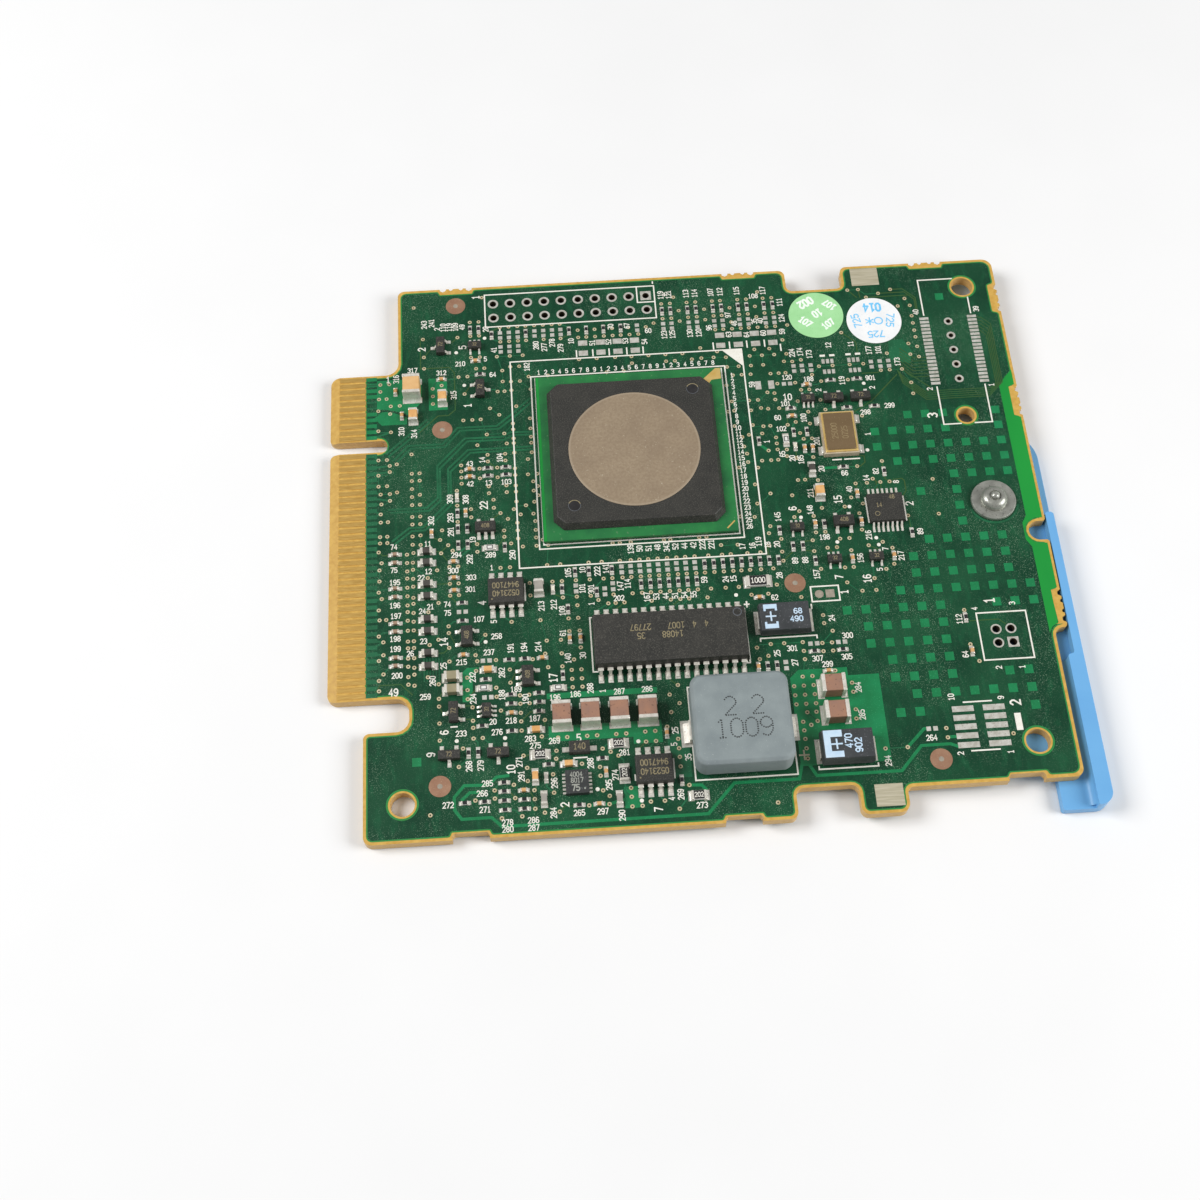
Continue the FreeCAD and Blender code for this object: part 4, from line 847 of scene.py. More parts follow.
PITCH = 2.54
header_spots = [(24.03 + column * PITCH, y) for y in (23.78, 21.24) for column in range(10)]
socket_spots = [(91.25, 5.9 + row * PITCH) for row in range(5)]
jumper_spots = [(x, y) for x in (89.7, 91.7) for y in (-34.3, -36.3)]
BARE_HOLES = ((94.25, 22.17, 1.9), (91.25, -0.4, 1.53), (9.85, -53.87, 1.9), (92.45, -50.5, 1.9))
holes = [circle(x, y, radius, 40) for x, y, radius in BARE_HOLES]
holes += [circle(PIVOT.x, PIVOT.y, 1.7, 24)]
plated = [circle(x, y, 0.55, 16) for x, y in header_spots + jumper_spots]
plated += [circle(x, y, 0.4, 16) for x, y in socket_spots]
mask_loop = rounded(mask_corners, 4)
for name, levels in (("front_solder_mask", MASK), ("back_solder_mask", BACK_MASK)):
    filled(name, [mask_loop] + holes + plated, levels, "mask")

thin_mask = Shape()
for levels in ((TOP, TOP + 1.25 * LAYER), (BACK - 1.25 * LAYER, BACK)):
    thin_mask.strip(mask_loop, 0.19, levels, looped=True)
    for x, y, radius in BARE_HOLES:
        thin_mask.ring(x, y, radius - 0.04, radius + 0.22, levels, 40)
thin_mask.build("mask_edge_lines", ["mask_edge"], "solder_mask")

# ---------------- plated holes and vias

# Upper left, beside the labels and the socket, right of the controller, down the left side,
# around the memory chip, below the bulk capacitors, and down the right side.
via_spots = places("""
    122,239 135,181 186,181 136,149 136,129 72,105 85,105 72,93 70,80 81,80 87,67 100,67 69,60 86,54
    69,26 87,23 148,93 148,80 148,67 161,98 186,111 199,111 194,81 212,124 224,124 250,118 250,99
    242,82 252,82 230,54 243,42 191,36 204,36 216,36 205,207 218,207 205,182 218,182 224,251 205,144
    218,144 243,143 262,143 281,143 262,124 275,124 288,105 316,105 402,105 427,105 262,98 275,98
    262,83 290,83 268,55 364,182 389,182 415,182 439,182 465,181 477,187 440,118 490,118 503,118
    510,232 516,207 516,188 554,207 554,188 592,207 592,181 630,207 636,233 630,188 630,169 664,144
    674,170 752,151 771,227 787,227 816,218 835,224 797,212 854,206 842,193 860,193 860,174 860,161
    860,148 860,136 848,125 860,119 848,106 860,101 814,110 814,81 801,81 832,81 842,57 842,38
    542,138 528,119 542,120 560,120 578,119 595,120 613,119 631,119 649,119 667,119 662,106 613,102
    631,102 578,102 595,102 585,87 598,87 611,87 640,86 652,86 662,86 674,105 687,107 700,80 712,94
    732,94 757,94 777,94 712,68 751,68 648,68 674,68 681,55 693,55 632,54 642,52 642,41 617,42
    604,42 579,42 574,70 674,36 707,36 620,28 630,26 646,26 605,25 581,26 572,25 687,17 712,19 579,0
    605,0 620,-3 630,-3 655,-3 667,1 687,-3 763,5 598,-16 617,-15 588,-19 636,-23 636,-33 636,-43
    589,-35 592,-47 623,-44 649,-44 671,-18 675,-28 687,-28 592,-61 612,-60 625,-60 635,-60 648,-55
    661,-59 685,-59 578,-69 605,-71 745,-78 781,-72 659,-95 669,-95 598,-98 687,-97 764,-100
    739,-106 755,-106 774,-106 787,-106 848,-106 848,-162 805,-162 618,-114 648,-119 598,-129
    730,-128 687,-142 655,-145 719,-142 745,-139 572,-148 592,-150 647,-154 674,-154 738,-154
    612,-166 609,-177 625,-187 674,-180 687,-180 738,-180 512,-177 522,-177 541,-191 564,-192
    607,-196 668,-192 706,-192 719,-192 764,-201 522,-206 541,-206 553,-206 576,-206 594,-206
    624,-207 668,-209 687,-205 700,-205 744,-205 719,-211 776,-211 116,-16 69,-23 81,-23 85,-33
    95,-31 85,-43 69,-48 127,-48 127,-60 69,-66 81,-66 72,-79 85,-79 95,-77 127,-83 85,-90 73,-95
    127,-99 72,-111 72,-124 82,-124 127,-118 127,-130 157,-142 71,-147 81,-147 127,-148 71,-157
    81,-157 154,-157 127,-163 165,-166 69,-171 155,-178 171,-175 73,-188 108,-177 117,-175 224,10
    249,10 210,-7 252,-7 224,-24 249,-24 224,-35 249,-35 186,-39 186,-49 186,-59 186,-69 212,-46
    212,-62 237,-46 237,-62 224,-76 249,-76 224,-87 249,-87 179,-80 230,-98 230,-111 179,-104
    198,-111 239,-120 258,-115 198,-124 179,-130 249,-130 243,-148 243,-158 252,-169 205,-179
    205,-167 281,-35 280,-60 293,-60 293,-80 293,-95 275,-110 267,-124 285,-124 268,-175 296,-166
    303,-175 392,-178 402,-178 417,-178 463,-178 472,-178 70,-199 70,-216 69,-233 73,-243 69,-260
    70,-275 79,-275 69,-299 75,-308 75,-327 69,-335 75,-355 69,-364 69,-379 149,-204 136,-215
    150,-254 136,-267 149,-309 137,-316 134,-363 148,-374 166,-200 178,-200 166,-226 178,-226
    166,-244 178,-244 163,-290 163,-300 163,-322 163,-342 212,-306 198,-335 200,-344 225,-344
    198,-358 186,-367 186,-385 186,-398 148,-395 148,-406 148,-430 243,-359 243,-378 224,-384
    224,-397 192,-410 192,-429 192,-439 255,-397 255,-409 255,-422 255,-434 248,-289 236,-206
    249,-206 267,-397 267,-409 302,-408 286,-434 229,-417 148,-454 192,-454 204,-454 178,-467
    172,-492 134,-555 255,-447 256,-482 260,-499 260,-517 242,-521 217,-527 217,-538 243,-539
    192,-539 268,-530 268,-542 268,-555 225,-565 251,-564 280,-561 299,-561 281,-457 302,-460
    314,-460 299,-478 298,-489 293,-510 293,-535 367,-264 275,-232 275,-251 287,-289 325,-289
    338,-289 325,-308 339,-308 294,-320 313,-320 313,-340 291,-339 274,-346 294,-359 313,-359
    329,-350 339,-333 325,-365 338,-365 325,-378 338,-378 325,-390 338,-390 464,-396 452,-409
    464,-422 452,-434 338,-270 380,-270 390,-270 402,-270 439,-270 465,-270 478,-270 490,-270
    515,-270 575,-270 598,-270 445,-454 340,-460 353,-460 378,-460 391,-460 416,-459 429,-459
    416,-473 429,-473 458,-472 458,-485 458,-497 458,-510 359,-479 369,-484 379,-490 331,-498
    354,-504 354,-516 356,-536 364,-544 337,-555 363,-555 392,-535 392,-547 392,-560 405,-560
    416,-555 434,-555 452,-567 467,-536 578,-567 624,-221 642,-278 674,-237 707,-237 719,-237
    775,-236 763,-243 745,-256 707,-260 726,-274 745,-274 668,-307 668,-319 678,-331 574,-349
    593,-345 611,-345 636,-345 662,-348 675,-348 636,-358 662,-360 675,-360 576,-366 588,-362
    636,-370 674,-389 630,-395 643,-395 630,-446 642,-446 623,-459 642,-459 633,-464 623,-471
    623,-483 623,-496 623,-510 694,-408 694,-421 694,-446 693,-459 725,-503 754,-503 808,-480
    808,-493 721,-556 859,-312 859,-363 867,-388 894,-493
    """)
VIA_ROWS = """
    195 249 262 275 287 300 313 326 338 /
    169 249 262 275 287 313 338 364 376 389 402 415 427 440 453 567 579 592 605 617 643 656 /
    130 363 389 416 440 465 490 515 566 621 643 /
    221 491 504 529 542 567 579 605 618 643 656 /
    194 491 504 529 542 567 579 605 618 643 656 /
    -206 300 318 357 375 400 415 427 439 452 465 478 490 503 /
    -232 306 319 338 357 376 388 402 414 427 439 452 465 478 490 503 515 528 541 554 565 577 592
        609 /
    -257 319 338 357 388 414 427 439 452 465 478 490 503 521 541 559 611 /
    -408 617 630 643 /
    -421 617 630 643 /
    -434 617 630 643"""
VIA_COLUMNS = """
    116 -48 -60 -73 -86 -99 -118 -130 -149 -162 -190 -201 -215 -227 -244 -253 -267 -280 -293 -309
    -319 -334 -348 -358 -374 /
    108 -190 -203 -214 -228 -241 -255 -265 -278 -293 -309 -319 -334 -346 -361 -372 /
    262 26 16 1 -7 -23 -49 -60 -77 -87 -103 -137 -149 -162 /
    287 33 16 2 -8 -24 -72 -87 -105 -136 -150 -162 -175"""
for row in VIA_ROWS.split("/"):          # the shared place comes first in each line
    y, *row = tenths(row)
    via_spots += [(x, y) for x in row]
for column in VIA_COLUMNS.split("/"):
    x, *column = tenths(column)
    via_spots += [(x, y) for y in column]
VIA_RADIUS, VIA_BORE, BACK_BORE = 0.29, 0.12, 0.1
UNDER_RING = 0.01                   # how far a dark bore reaches under its ring
VIA_TOP = TOP + 3 * LAYER
# Painted shade: each via gets a dark bore disc on both faces, standing in for the shade inside its
# open hole.
vias, bores = Shape(), Shape()
for x, y in via_spots:
    vias.ring(x, y, VIA_BORE, VIA_RADIUS, (TOP, VIA_TOP), 12)
    bores.prism(circle(x, y, VIA_BORE + UNDER_RING, 8), (TOP, VIA_TOP - 0.8 * LAYER))
    vias.ring(x, y, BACK_BORE, VIA_RADIUS, (BACK_TIN[0], BACK), 8)
    bores.prism(circle(x, y, BACK_BORE + UNDER_RING, 6), (BACK_MASK[0], BACK))
vias.build("via_rings", ["via_metal"], "gold_contacts")
bores.build("via_bores", ["via_dark"], "solder_mask")

hole_pads = Shape()
for levels in ((TOP, VIA_TOP), BACK_TIN):
    for spots, inner, outer in ((header_spots, 0.5, 0.79), (socket_spots, 0.36, 0.65),
                                (jumper_spots, 0.53, 0.74)):
        for x, y in spots:
            hole_pads.ring(x, y, inner, outer, levels, 20)
    for (x, y), inner in (((46.89, 23.78), 0.8), ((91.7, -36.3), 0.75)):
        for sx, sy in ((-1, -1), (1, -1), (1, 1), (-1, 1)):
            corner = [(x + sx * inner, y + sy * inner), (x + sx * 0.1, y + sy * inner),
                      (x + sx * 0.5, y + sy * 0.5), (x + sx * inner, y + sy * 0.1)]
            hole_pads.prism(corner if sx * sy < 0 else corner[::-1], levels)
# Painted shade: the walls of the plated holes get a dark tin colour, standing in for the shade
# inside each hole.
for spots, radius in ((header_spots, 0.5), (socket_spots, 0.355), (jumper_spots, 0.53)):
    for x, y in spots:
        hole_pads.ring(x, y, radius - 0.035, radius + 0.005, (BACK, TOP), 16, 1)
hole_pads.build("plated_hole_pads", ["tin", "bore_shade"], "tinned_leads")

# ---------------- lands under the leads

LEAD_GROUPS = (("memory_chip", "body"), ("power_switch", "bodies"), ("logic_chip", "body"),
               ("transistor", "bodies"), ("regulator", "bodies"), ("logic_gate", "bodies"))
SHOULDERS = {"memory_chip": 0.76, "power_switch": 0.72}     # breadth where coarse leads start
TOE_LAND = 0.24                     # land left free beyond the toe of a lead
shoulders = Shape()
for family, plural in LEAD_GROUPS:
    cases = islands(f"{family}_{plural}")
    for centre, size in islands(f"{family}_leads"):
        case, case_size = min(cases, key=lambda item: (item[0] - centre).xy.length)
        along = Vector((1, 0, 0)) if size.x > size.y else Vector((0, 1, 0))
        along *= math.copysign(1, (centre - case).dot(along))
        reach, width = max(size.x, size.y), min(size.x, size.y)
        toe = Vector((centre.x, centre.y, TOP)) + along * reach / 2
        angle = math.atan2(along.y, along.x)
        move = Matrix.Translation(toe) @ Matrix.Rotation(angle, 4, "Z")
        foot = min(0.75 * reach, 0.95)
        toe_land = 0.42 if family == "power_switch" else TOE_LAND
        wide = width * (1.7 if family in SHOULDERS else 1.3)
        corners = [move @ Vector((x, y, 0)) for x, y in rectangle(
            (toe_land - foot) / 2, 0, foot + toe_land, wide)]
        TIN_PADS.prism([(c.x, c.y) for c in corners], TIN)
        rings = [[(x, -s * wide, 0), (x, -s * wide, h), (x, s * wide, h), (x, s * wide, 0)]
                 for x, s, h in ((-0.1, 0.42, 0.16), (0.04, 0.41, 0.09), (0.2, 0.38, 0.035))]
        SOLDER.loft(rings, 0, move)
        PAD_ENDS.append((toe + along * TOE_LAND, along.xy))
        if family in SHOULDERS:
            root = case.y + along.y * case_size.y / 2
            shoulders.block((SHOULDERS[family], 0.46, 0.24), 0.06, 0, Matrix.Translation(
                (centre.x, root + along.y * 0.2, centre.z + size.z / 2 - 0.23)))
shoulders.build("lead_shoulders", ["lead"], "tinned_leads")


def land(x, y, length, width):
    TIN_PADS.prism(rectangle(x, y, length, width), TIN)


for node, spare in (("power_inductor_straps", 0.9), ("tantalum_capacitor_straps", 0.9),
                    ("diode_straps", 0.1)):
    for centre, size in islands(node):
        land(centre.x, centre.y, size.x + 0.7, size.y + spare)
for centre, size in islands("oscillator_base"):
    for x, y in ((-2.7, 2.6), (2.9, 2.6), (-2.7, -2.4), (2.9, -2.4)):
        land(centre.x + x, centre.y + y, 0.9, 1.4)
        SOLDER.block((0.5, 1.2, 0.5), 0.12, 0, Matrix.Translation(
            (centre.x + x * 0.93, centre.y + y, TOP)))

# ---------------- empty lands

CHIP_LAND = (0.62, 0.6)             # across and along a small chip
LAND_STEP = 0.45                    # from the middle of a small chip to either land
for columns, rows, length, width in (
    (tenths("249 262 275 300 313 326 338.5 452 491 503.5 529 541.5 567 579.5 604.5 617.5 643 656"),
     (18.5, 17.6), *CHIP_LAND),
    (tenths("249 262 275"), (16.0, 15.1), *CHIP_LAND),
    (tenths("370 396 421 446.5 572.5 598.5 624 649.5"), (15.85, 14.05), 1.35, 0.9),
    ([40.15 + 1.26 * index for index in range(9)], (-21.5, -22.4), *CHIP_LAND),
):
    for x in columns:
        for y in rows:
            land(x, y, length, width)
for x, y in places("337.5,-244.5 388,-244.5 376.5,-251.5 610,-377 675,92.5 687,92.5 700,92.5"
                   " 788.5,92.5 801.5,92.5 814,92.5"):
    for step in (-LAND_STEP, LAND_STEP):
        land(x, y + step, *CHIP_LAND)
for x, y in places("182,-269.5 212,-344 212.5,-397 650.5,-348 688,-348 789.5,-479.5 662,67"):
    for step in (-LAND_STEP, LAND_STEP):
        land(x + step, y, *CHIP_LAND[::-1])
for left in (71.9, 75.7):
    for column in range(3):
        for y in (10.2, 8.4):
            land(left + 0.65 * column, y, 0.45, 0.75)
for x in (62.0, 63.9):
    land(x, 6.7, 0.85, 1.4)

SOCKET_ROWS, SOCKET_PITCH = 19, 0.6355
for left, right in ((87.05, 88.4), (94.15, 95.5)):
    for row in range(SOCKET_ROWS):
        y = 16.75 - SOCKET_PITCH * row
        TIN_PADS.prism(between(left, right, y - 0.22, y + 0.22), TIN)
for left, right in ((81.95, 84.8), (86.03, 88.9)):
    for y in (-45.45, -46.7, -47.97, -49.22, -50.5):
        TIN_PADS.prism(between(left, right, y - 0.4, y + 0.4), TIN)
TIN_PADS.build("component_lands", ["tin"], "tinned_leads")
SOLDER.build("solder_joints", ["solder"], "tinned_leads", smooth=50)

wide_pads = Shape()
for outline in (between(77.9, 82.0, 23.4, 26.55), between(70.35, 74.0, -58.1, -55.1)):
    wide_pads.prism(outline, TIN)
wide_pads.prism(rectangle(61.9, -50.5, 1.4, 0.22), TIN)
wide_pads.prism(rectangle(61.9, -50.5, 0.22, 1.4), TIN)
wide_pads.build("grounding_lands", ["tin_brushed"], "tinned_leads")
probes = Shape()
for x, y in ((18.45, 23.8), (16.05, 2.2), (14.7, -51.7), (63.6, -25.6), (79.5, -52.2)):
    probes.prism(circle(x, y, 1.45, 40), TIN)
    probes.turned([(0.01, TIN[1]), (0.36, TIN[1]), (0.34, TIN[1] + 0.03), (0.2, TIN[1] + 0.04),
                   (0.01, TIN[1] + 0.02)], (x, y), 20, 1)
probes.prism(circle(66.68, -27.5, 0.6, 24), TIN, 1)
probes.prism(rectangle(68.17, -27.5, 1.2, 1.2), TIN, 1)
probes.build("probe_lands", ["copper_pad", "dull_probe"], "gold_contacts")

# ---------------- copper under the mask

DULL = (TOP, TOP + 1.5 * LAYER)
OLIVE = (TOP, TOP + 1.62 * LAYER)
bright, dull, olive = Shape(), Shape(), Shape()
THIEVING = """
    .....###..#
    ...#####..#
    ...########
    ....#######
    .......####
    .....#.#...
    .......#...
    .......#...
    .....#####.
    ....######.
    ....######.
    ...########
    ######..###
    .#####.....
    .#####.....
    ..####.....
    ..####..##.
    ...#######.
    ..##.....#."""
for row, squares in enumerate(THIEVING.split()):
    for column, square in enumerate(squares):
        if square == "#":
            outline = rectangle(70.15 + PITCH * column, 0.27 - PITCH * row, 1.2, 1.25)
            bright.prism(outline, COPPER)
            dull.prism(outline, BACK_COPPER)
for x, y in ((90.6, 20.6), (11.76, -48.2)):
    bright.prism(rectangle(x, y, 1.2, 1.2), COPPER)

for outline in paths("""
    290,-465 400,-465 400,-475 438,-475 438,-443.5 290,-443.5 / 290,-405 436,-405 436,-397 290,-397
    / 383,-562 403,-562 403,-533 383,-533 / 613,-520 731,-520 731,-397 690,-397 690,-385 625,-385
    613,-396 / 67,63 81,61.5 93,58.5 113,50 132,72 132,112 67,112 / 74,35 110,35 110,47 92,55 80,58
    74,57.5 63,48 / 142,56 169,56 169,111 142,111 / 179,-402 193,-402 193,-362 204,-353 186,-353
    179,-360"""):
    bright.prism(outline, COPPER)
for outline in paths("""
    444,-525 472,-525 472,-464 444,-464 / 816,99 846,90 851,113 840,134 819,132"""):
    dull.prism(outline, DULL)
# Painted light: a brighter green band along the right edge stands in for light passing through the
# laminate where the inner copper stops.
notch_side = arc((98.25, -19.72), 2.0, 90, 270, 24)
edge_band_outline = [(96.8, 4.3), (96.8, -17.3), (96.12, -18.4), (96.12, -21.0), (96.8, -22.2),
                 (96.8, -35.4), (97.0, -34.9), (97.35, -34.4), (98.12, -33.95), (98.12, -28.88),
                 (99.0, -28.62), (99.0, -21.72)] + notch_side[::-1] + [
                 (99.0, -17.72), (99.0, -1.2), (98.12, -0.92), (98.12, 4.12), (99.0, 4.4),
                 (99.0, 6.9), (98.0, 5.9)]
filled("edge_light_band", [edge_band_outline], COPPER, "bright_flood")
dull.strip(arc((PIVOT.x, PIVOT.y), 3.42, 200, 345, 20), 0.3, DULL)

for path in paths("""
    205,-519 178,-518 165,-533 165,-550 174,-563 212,-563 225,-576 488,-576 525,-537 609,-537
    615,-516 / 235,-508 220,-509 210,-518 / 175,-537 185,-528 200,-528 / 622,-515 632,-534
    742,-534.5 772,-502 810,-502 819,-506 / 754,-503 779,-479 785,-479 / 467,-536 483,-537 488,-543
    / 700,-78 720,-78 / 612,-34 623,-44 / 808,-492.5 820,-492.5 / 337,-555 362,-555 383,-550"""):
    bright.strip(path, 0.42, COPPER)
for path in paths("""
    92,-27 113,-4 162,-4.5 184,21.5 240,21 263,40 290,65 / 82,-15 110,10 140,38 / 85,-107 138,-107
    154,-92 154,-40 194,3 246,2 260,9 / 90,-157 113,-138 132,-138 169,-100 169,-46 198,-16.5
    260,-16.5 / 260,9 292,8 / 260,-16.5 292,-16.5 / 180,-182 194,-171"""):
    for step in (-0.25, 0.25):
        dull.strip([(x + step * 0.7, y - step) for x, y in path], 0.3, DULL)

for k in range(5):
    right, low = 97.4 - 0.24 * k, 2.65 + 0.35 * k
    olive.strip([(95.5, 16.6 - 0.6 * k), (96.2 - 0.1 * k, 16.4 - 0.6 * k), (right, 15.2 - 0.5 * k),
                 (right, 4.9), (right - 4.9 + low, low), (86.0, low), (83.0, low + 3.0),
                 (82.5, 8.0)], 0.13, OLIVE)
for k in range(7):
    olive.strip([(87.0, 9.9 - 0.55 * k), (85.2 - 0.12 * k, 9.9 - 0.55 * k),
                 (83.4 - 0.1 * k, 11.7 - 0.5 * k)], 0.12, OLIVE)
    dull.strip([(12.9 + 0.4 * k, -36.9 - 0.05 * k), (12.9 + 0.4 * k, -33.6)], 0.12, DULL)
for path in paths("""
    816,218 855,218 868,204 868,178 / 835,224 853,224 870,207 870,178 / 797,212 862,212 / 771,227
    783,213 / 787,227 788,212 / 131,181 131,129 173,129 180,119 180,55 170,46 155,46 128,20 /
    801.5,81 796,77.5 773,77.5 / 832,81 868,47 / 864,-328.5 903,-328.5 911,-336 / 823,72 780,29
    745,8 / 752,151 771,133 771,113 / 763,-100 774,-109 774,-114 / 781,-72 781,-84 / 805,-162
    806,-180 / 792,-103 805,-102 808,-106 808,-122 802,-131 / 739,-58 757,-62 757,-72 750,-78
    730,-78 / 65,-380 70,-371 98,-371 113,-387"""):
    olive.strip(path, 0.16, OLIVE)

# Contacts run back to the nearest via, and most lands run out to one.
for index in range(49):
    y = 1.5 + index if index < 11 else -1.5 - (index - 11)
    near = min((spot for spot in via_spots if 6.4 < spot[0] < 9.0), key=lambda s: abs(s[1] - y))
    shape, levels = (bright, COPPER) if index < 11 and index not in (5, 6) else (dull, DULL)
    if index not in (5, 6):
        shape.strip([(CONTACT_END - 0.3, y), (6.45, y)], 0.62, levels)
    if abs(near[1] - y) < 0.95:
        dull.strip([(CONTACT_END - 0.3, y), (6.2, y), near], 0.3, DULL)
free = [Vector(spot) for spot in via_spots]
for tip, ahead in PAD_ENDS:
    tip, ahead = tip.xy, ahead.normalized()
    reachable = [spot for spot in free if 0.25 < (spot - tip).length < 2.1
                 and (spot - tip).normalized().dot(ahead) > -0.15]
    if not reachable:
        continue
    goal = min(reachable, key=lambda spot: (spot - tip).length)
    free.remove(goal)
    span = goal - tip
    straight = ahead * max(0.0, abs(span.dot(ahead)) - abs(span.dot(ahead.orthogonal())))
    path = [tip - ahead * 0.1, tip + straight * 0.98, goal] if straight.length > 0.1 else [
        tip - ahead * 0.1, goal]
    if random.random() < 0.35:
        olive.strip(path, 0.17, OLIVE)
    else:
        dull.strip(path, 0.2, DULL)
while len(free) > 1:
    start = free.pop()
    goal = min(free, key=lambda spot: (spot - start).length)
    span = goal - start
    if 0.9 < span.length < 3.2 and abs(start.x - 43.2) > 12 and random.random() < 0.6:
        corner = start + Vector((math.copysign(max(0.0, abs(span.x) - abs(span.y)), span.x), 0))
        dull.strip([start, corner, goal] if 0.1 < (corner - start).length else [start, goal],
                   0.13, DULL)
bright.build("bright_copper_areas", ["bright_copper"], "solder_mask")
dull.build("buried_tracks", ["dull_copper"], "solder_mask")
olive.build("thin_tracks", ["olive_copper"], "solder_mask")

# ---------------- figures

FIELD_WIDTH, FIELD_HEIGHT, FIGURE_PITCH = 6, 10, 8.6
STROKES = {                         # strokes of each figure, in tenths of a unit of its field
    "0": "20,0 40,0 60,20 60,80 40,100 20,100 0,80 0,20 20,0",
    "1": "10,80 30,100 30,0 / 10,0 50,0",
    "2": "0,80 20,100 40,100 60,80 60,60 0,0 60,0",
    "3": "0,90 20,100 40,100 60,80 60,65 35,53 60,35 60,20 40,0 20,0 0,10",
    "4": "45,0 45,100 0,30 / 9,30 36,30 / 53,30 60,30",
    "5": "55,100 5,100 2,55 40,60 60,43 60,20 40,0 20,0 0,10",
    "6": "55,90 35,100 20,100 0,70 0,20 20,0 40,0 60,20 60,40 40,57 / 40,57 20,57 4,44",
    "7": "0,100 60,100 20,0",
    "8": "20,53 3,70 3,83 20,100 40,100 57,83 57,70 40,53 20,53 /"
         " 20,53 0,35 0,20 20,0 40,0 60,20 60,35 40,53",
    "9": "56,56 40,43 / 40,43 20,43 0,60 0,80 20,100 40,100 60,80 60,30 40,0 25,0 5,10",
    "+": "0,50 60,50 / 30,20 30,46 / 30,54 30,80",
}
STROKES = {figure: paths(text) for figure, text in STROKES.items()}


def figures(shape, text, x, y, tall, levels, degrees=0, weight=0.17, squeeze=0.78):
    """Writes figures centred on a point: each stroke is a ribbon."""
    unit = tall / FIELD_HEIGHT
    pitch = FIGURE_PITCH * unit * squeeze
    turn = Matrix.Rotation(math.radians(degrees), 2)
    for place, figure in enumerate(text):
        shift = (place - (len(text) - 1) / 2) * pitch
        for stroke in STROKES[figure]:
            path = [turn @ Vector(((u - FIELD_WIDTH / 2) * unit * squeeze + shift,
                                   (v - FIELD_HEIGHT / 2) * unit)) + Vector((x, y))
                    for u, v in stroke]
            closed = stroke[0] == stroke[-1]
            shape.strip(path[:-1] if closed else path, weight * tall, levels, 0, closed)


# ---------------- white print on the board

ink = Shape()
LINE = 0.2                          # width of a white line
for left, right, low, high in (     # closed boxes
    (22.8, 48.2, 19.65, 25.5), (26.2, 60.2, -20.87, 13.2), (29.1, 57.45, -18.1, 10.4),
    (29.72, 56.9, -17.45, 10.0), (87.4, 94.1, -38.75, -31.8), (65.6, 69.4, -28.6, -26.35),
):
    ink.strip(between(left, right, low, high), LINE, INK, looped=True)
ink.prism([(57.3, 13.2), (60.2, 10.2), (60.2, 13.2)], INK)
ink.prism(between(89.95, 90.8, -48.9, -46.5), INK)
for path in paths("""
    456,255 456,226 482,226 / 878,173.5 878,237.5 929.5,237.5 / 948,202 948,173.5 / 878,46.5
    878,-17.5 903,-17.5 / 948,46.5 948,-17.5 923,-17.5 / 836,-445.5 873,-445.5 / 836,-513.5
    873,-513.5 / 608,-530.5 476,-530.5 476,-483 / 476,-450 476,-400.5 608,-400.5 608,-530.5 /
    580,-340 580,-336 656,-336 656,-340 / 654,-290 654,-296 / 636,-522 636,-526 713,-526 713,-522 /
    360,-290 353.5,-290 353.5,-370 360,-370 / 557,-290 563,-290 563,-370 557,-370 / 321,-489.5
    338,-489.5 / 712,-65.5 724,-65.5 / 729,-65.5 750,-65.5 / 163,-436 171,-436 / 751,-169 749.5,-169
    749,-130 / 802,-169 802,-131 / 268,-258 268,-233 / 398.5,-525 398.5,-518 / 449.5,-525
    449.5,-499"""):
    ink.strip(path, LINE, INK)
short_strokes = [(x, y, 1.1) for x, y in places("""
    360,140 384,140 408,140 434,140 458,140 561.5,140 585.5,140 611,140 637,140 660,131""")]
short_strokes += [(48.1, 26.1, 0.3), (49.7, 23.8, 0.5), (24.9, 19.0, 0.2)]
for x, y, tall in short_strokes:
    ink.strip([(x, y - tall / 2), (x, y + tall / 2)], LINE, INK)
for x in (71.9, 73.3, 75.7, 77.1):
    ink.strip([(x - 0.25, 11.2), (x + 0.25, 11.2)], 0.35, INK)
for x, y in places("""
    226,177 183.5,154 194,96 212,-316.5 170,-456 233,-456 406,-472 349,-534 404.5,-553 656,-155
    725.5,-142.5 701.5,-197 756,-194 758,-205 763,-52.5 554,-269 773,60"""):
    ink.prism(circle(x, y, 0.27, 14), INK)

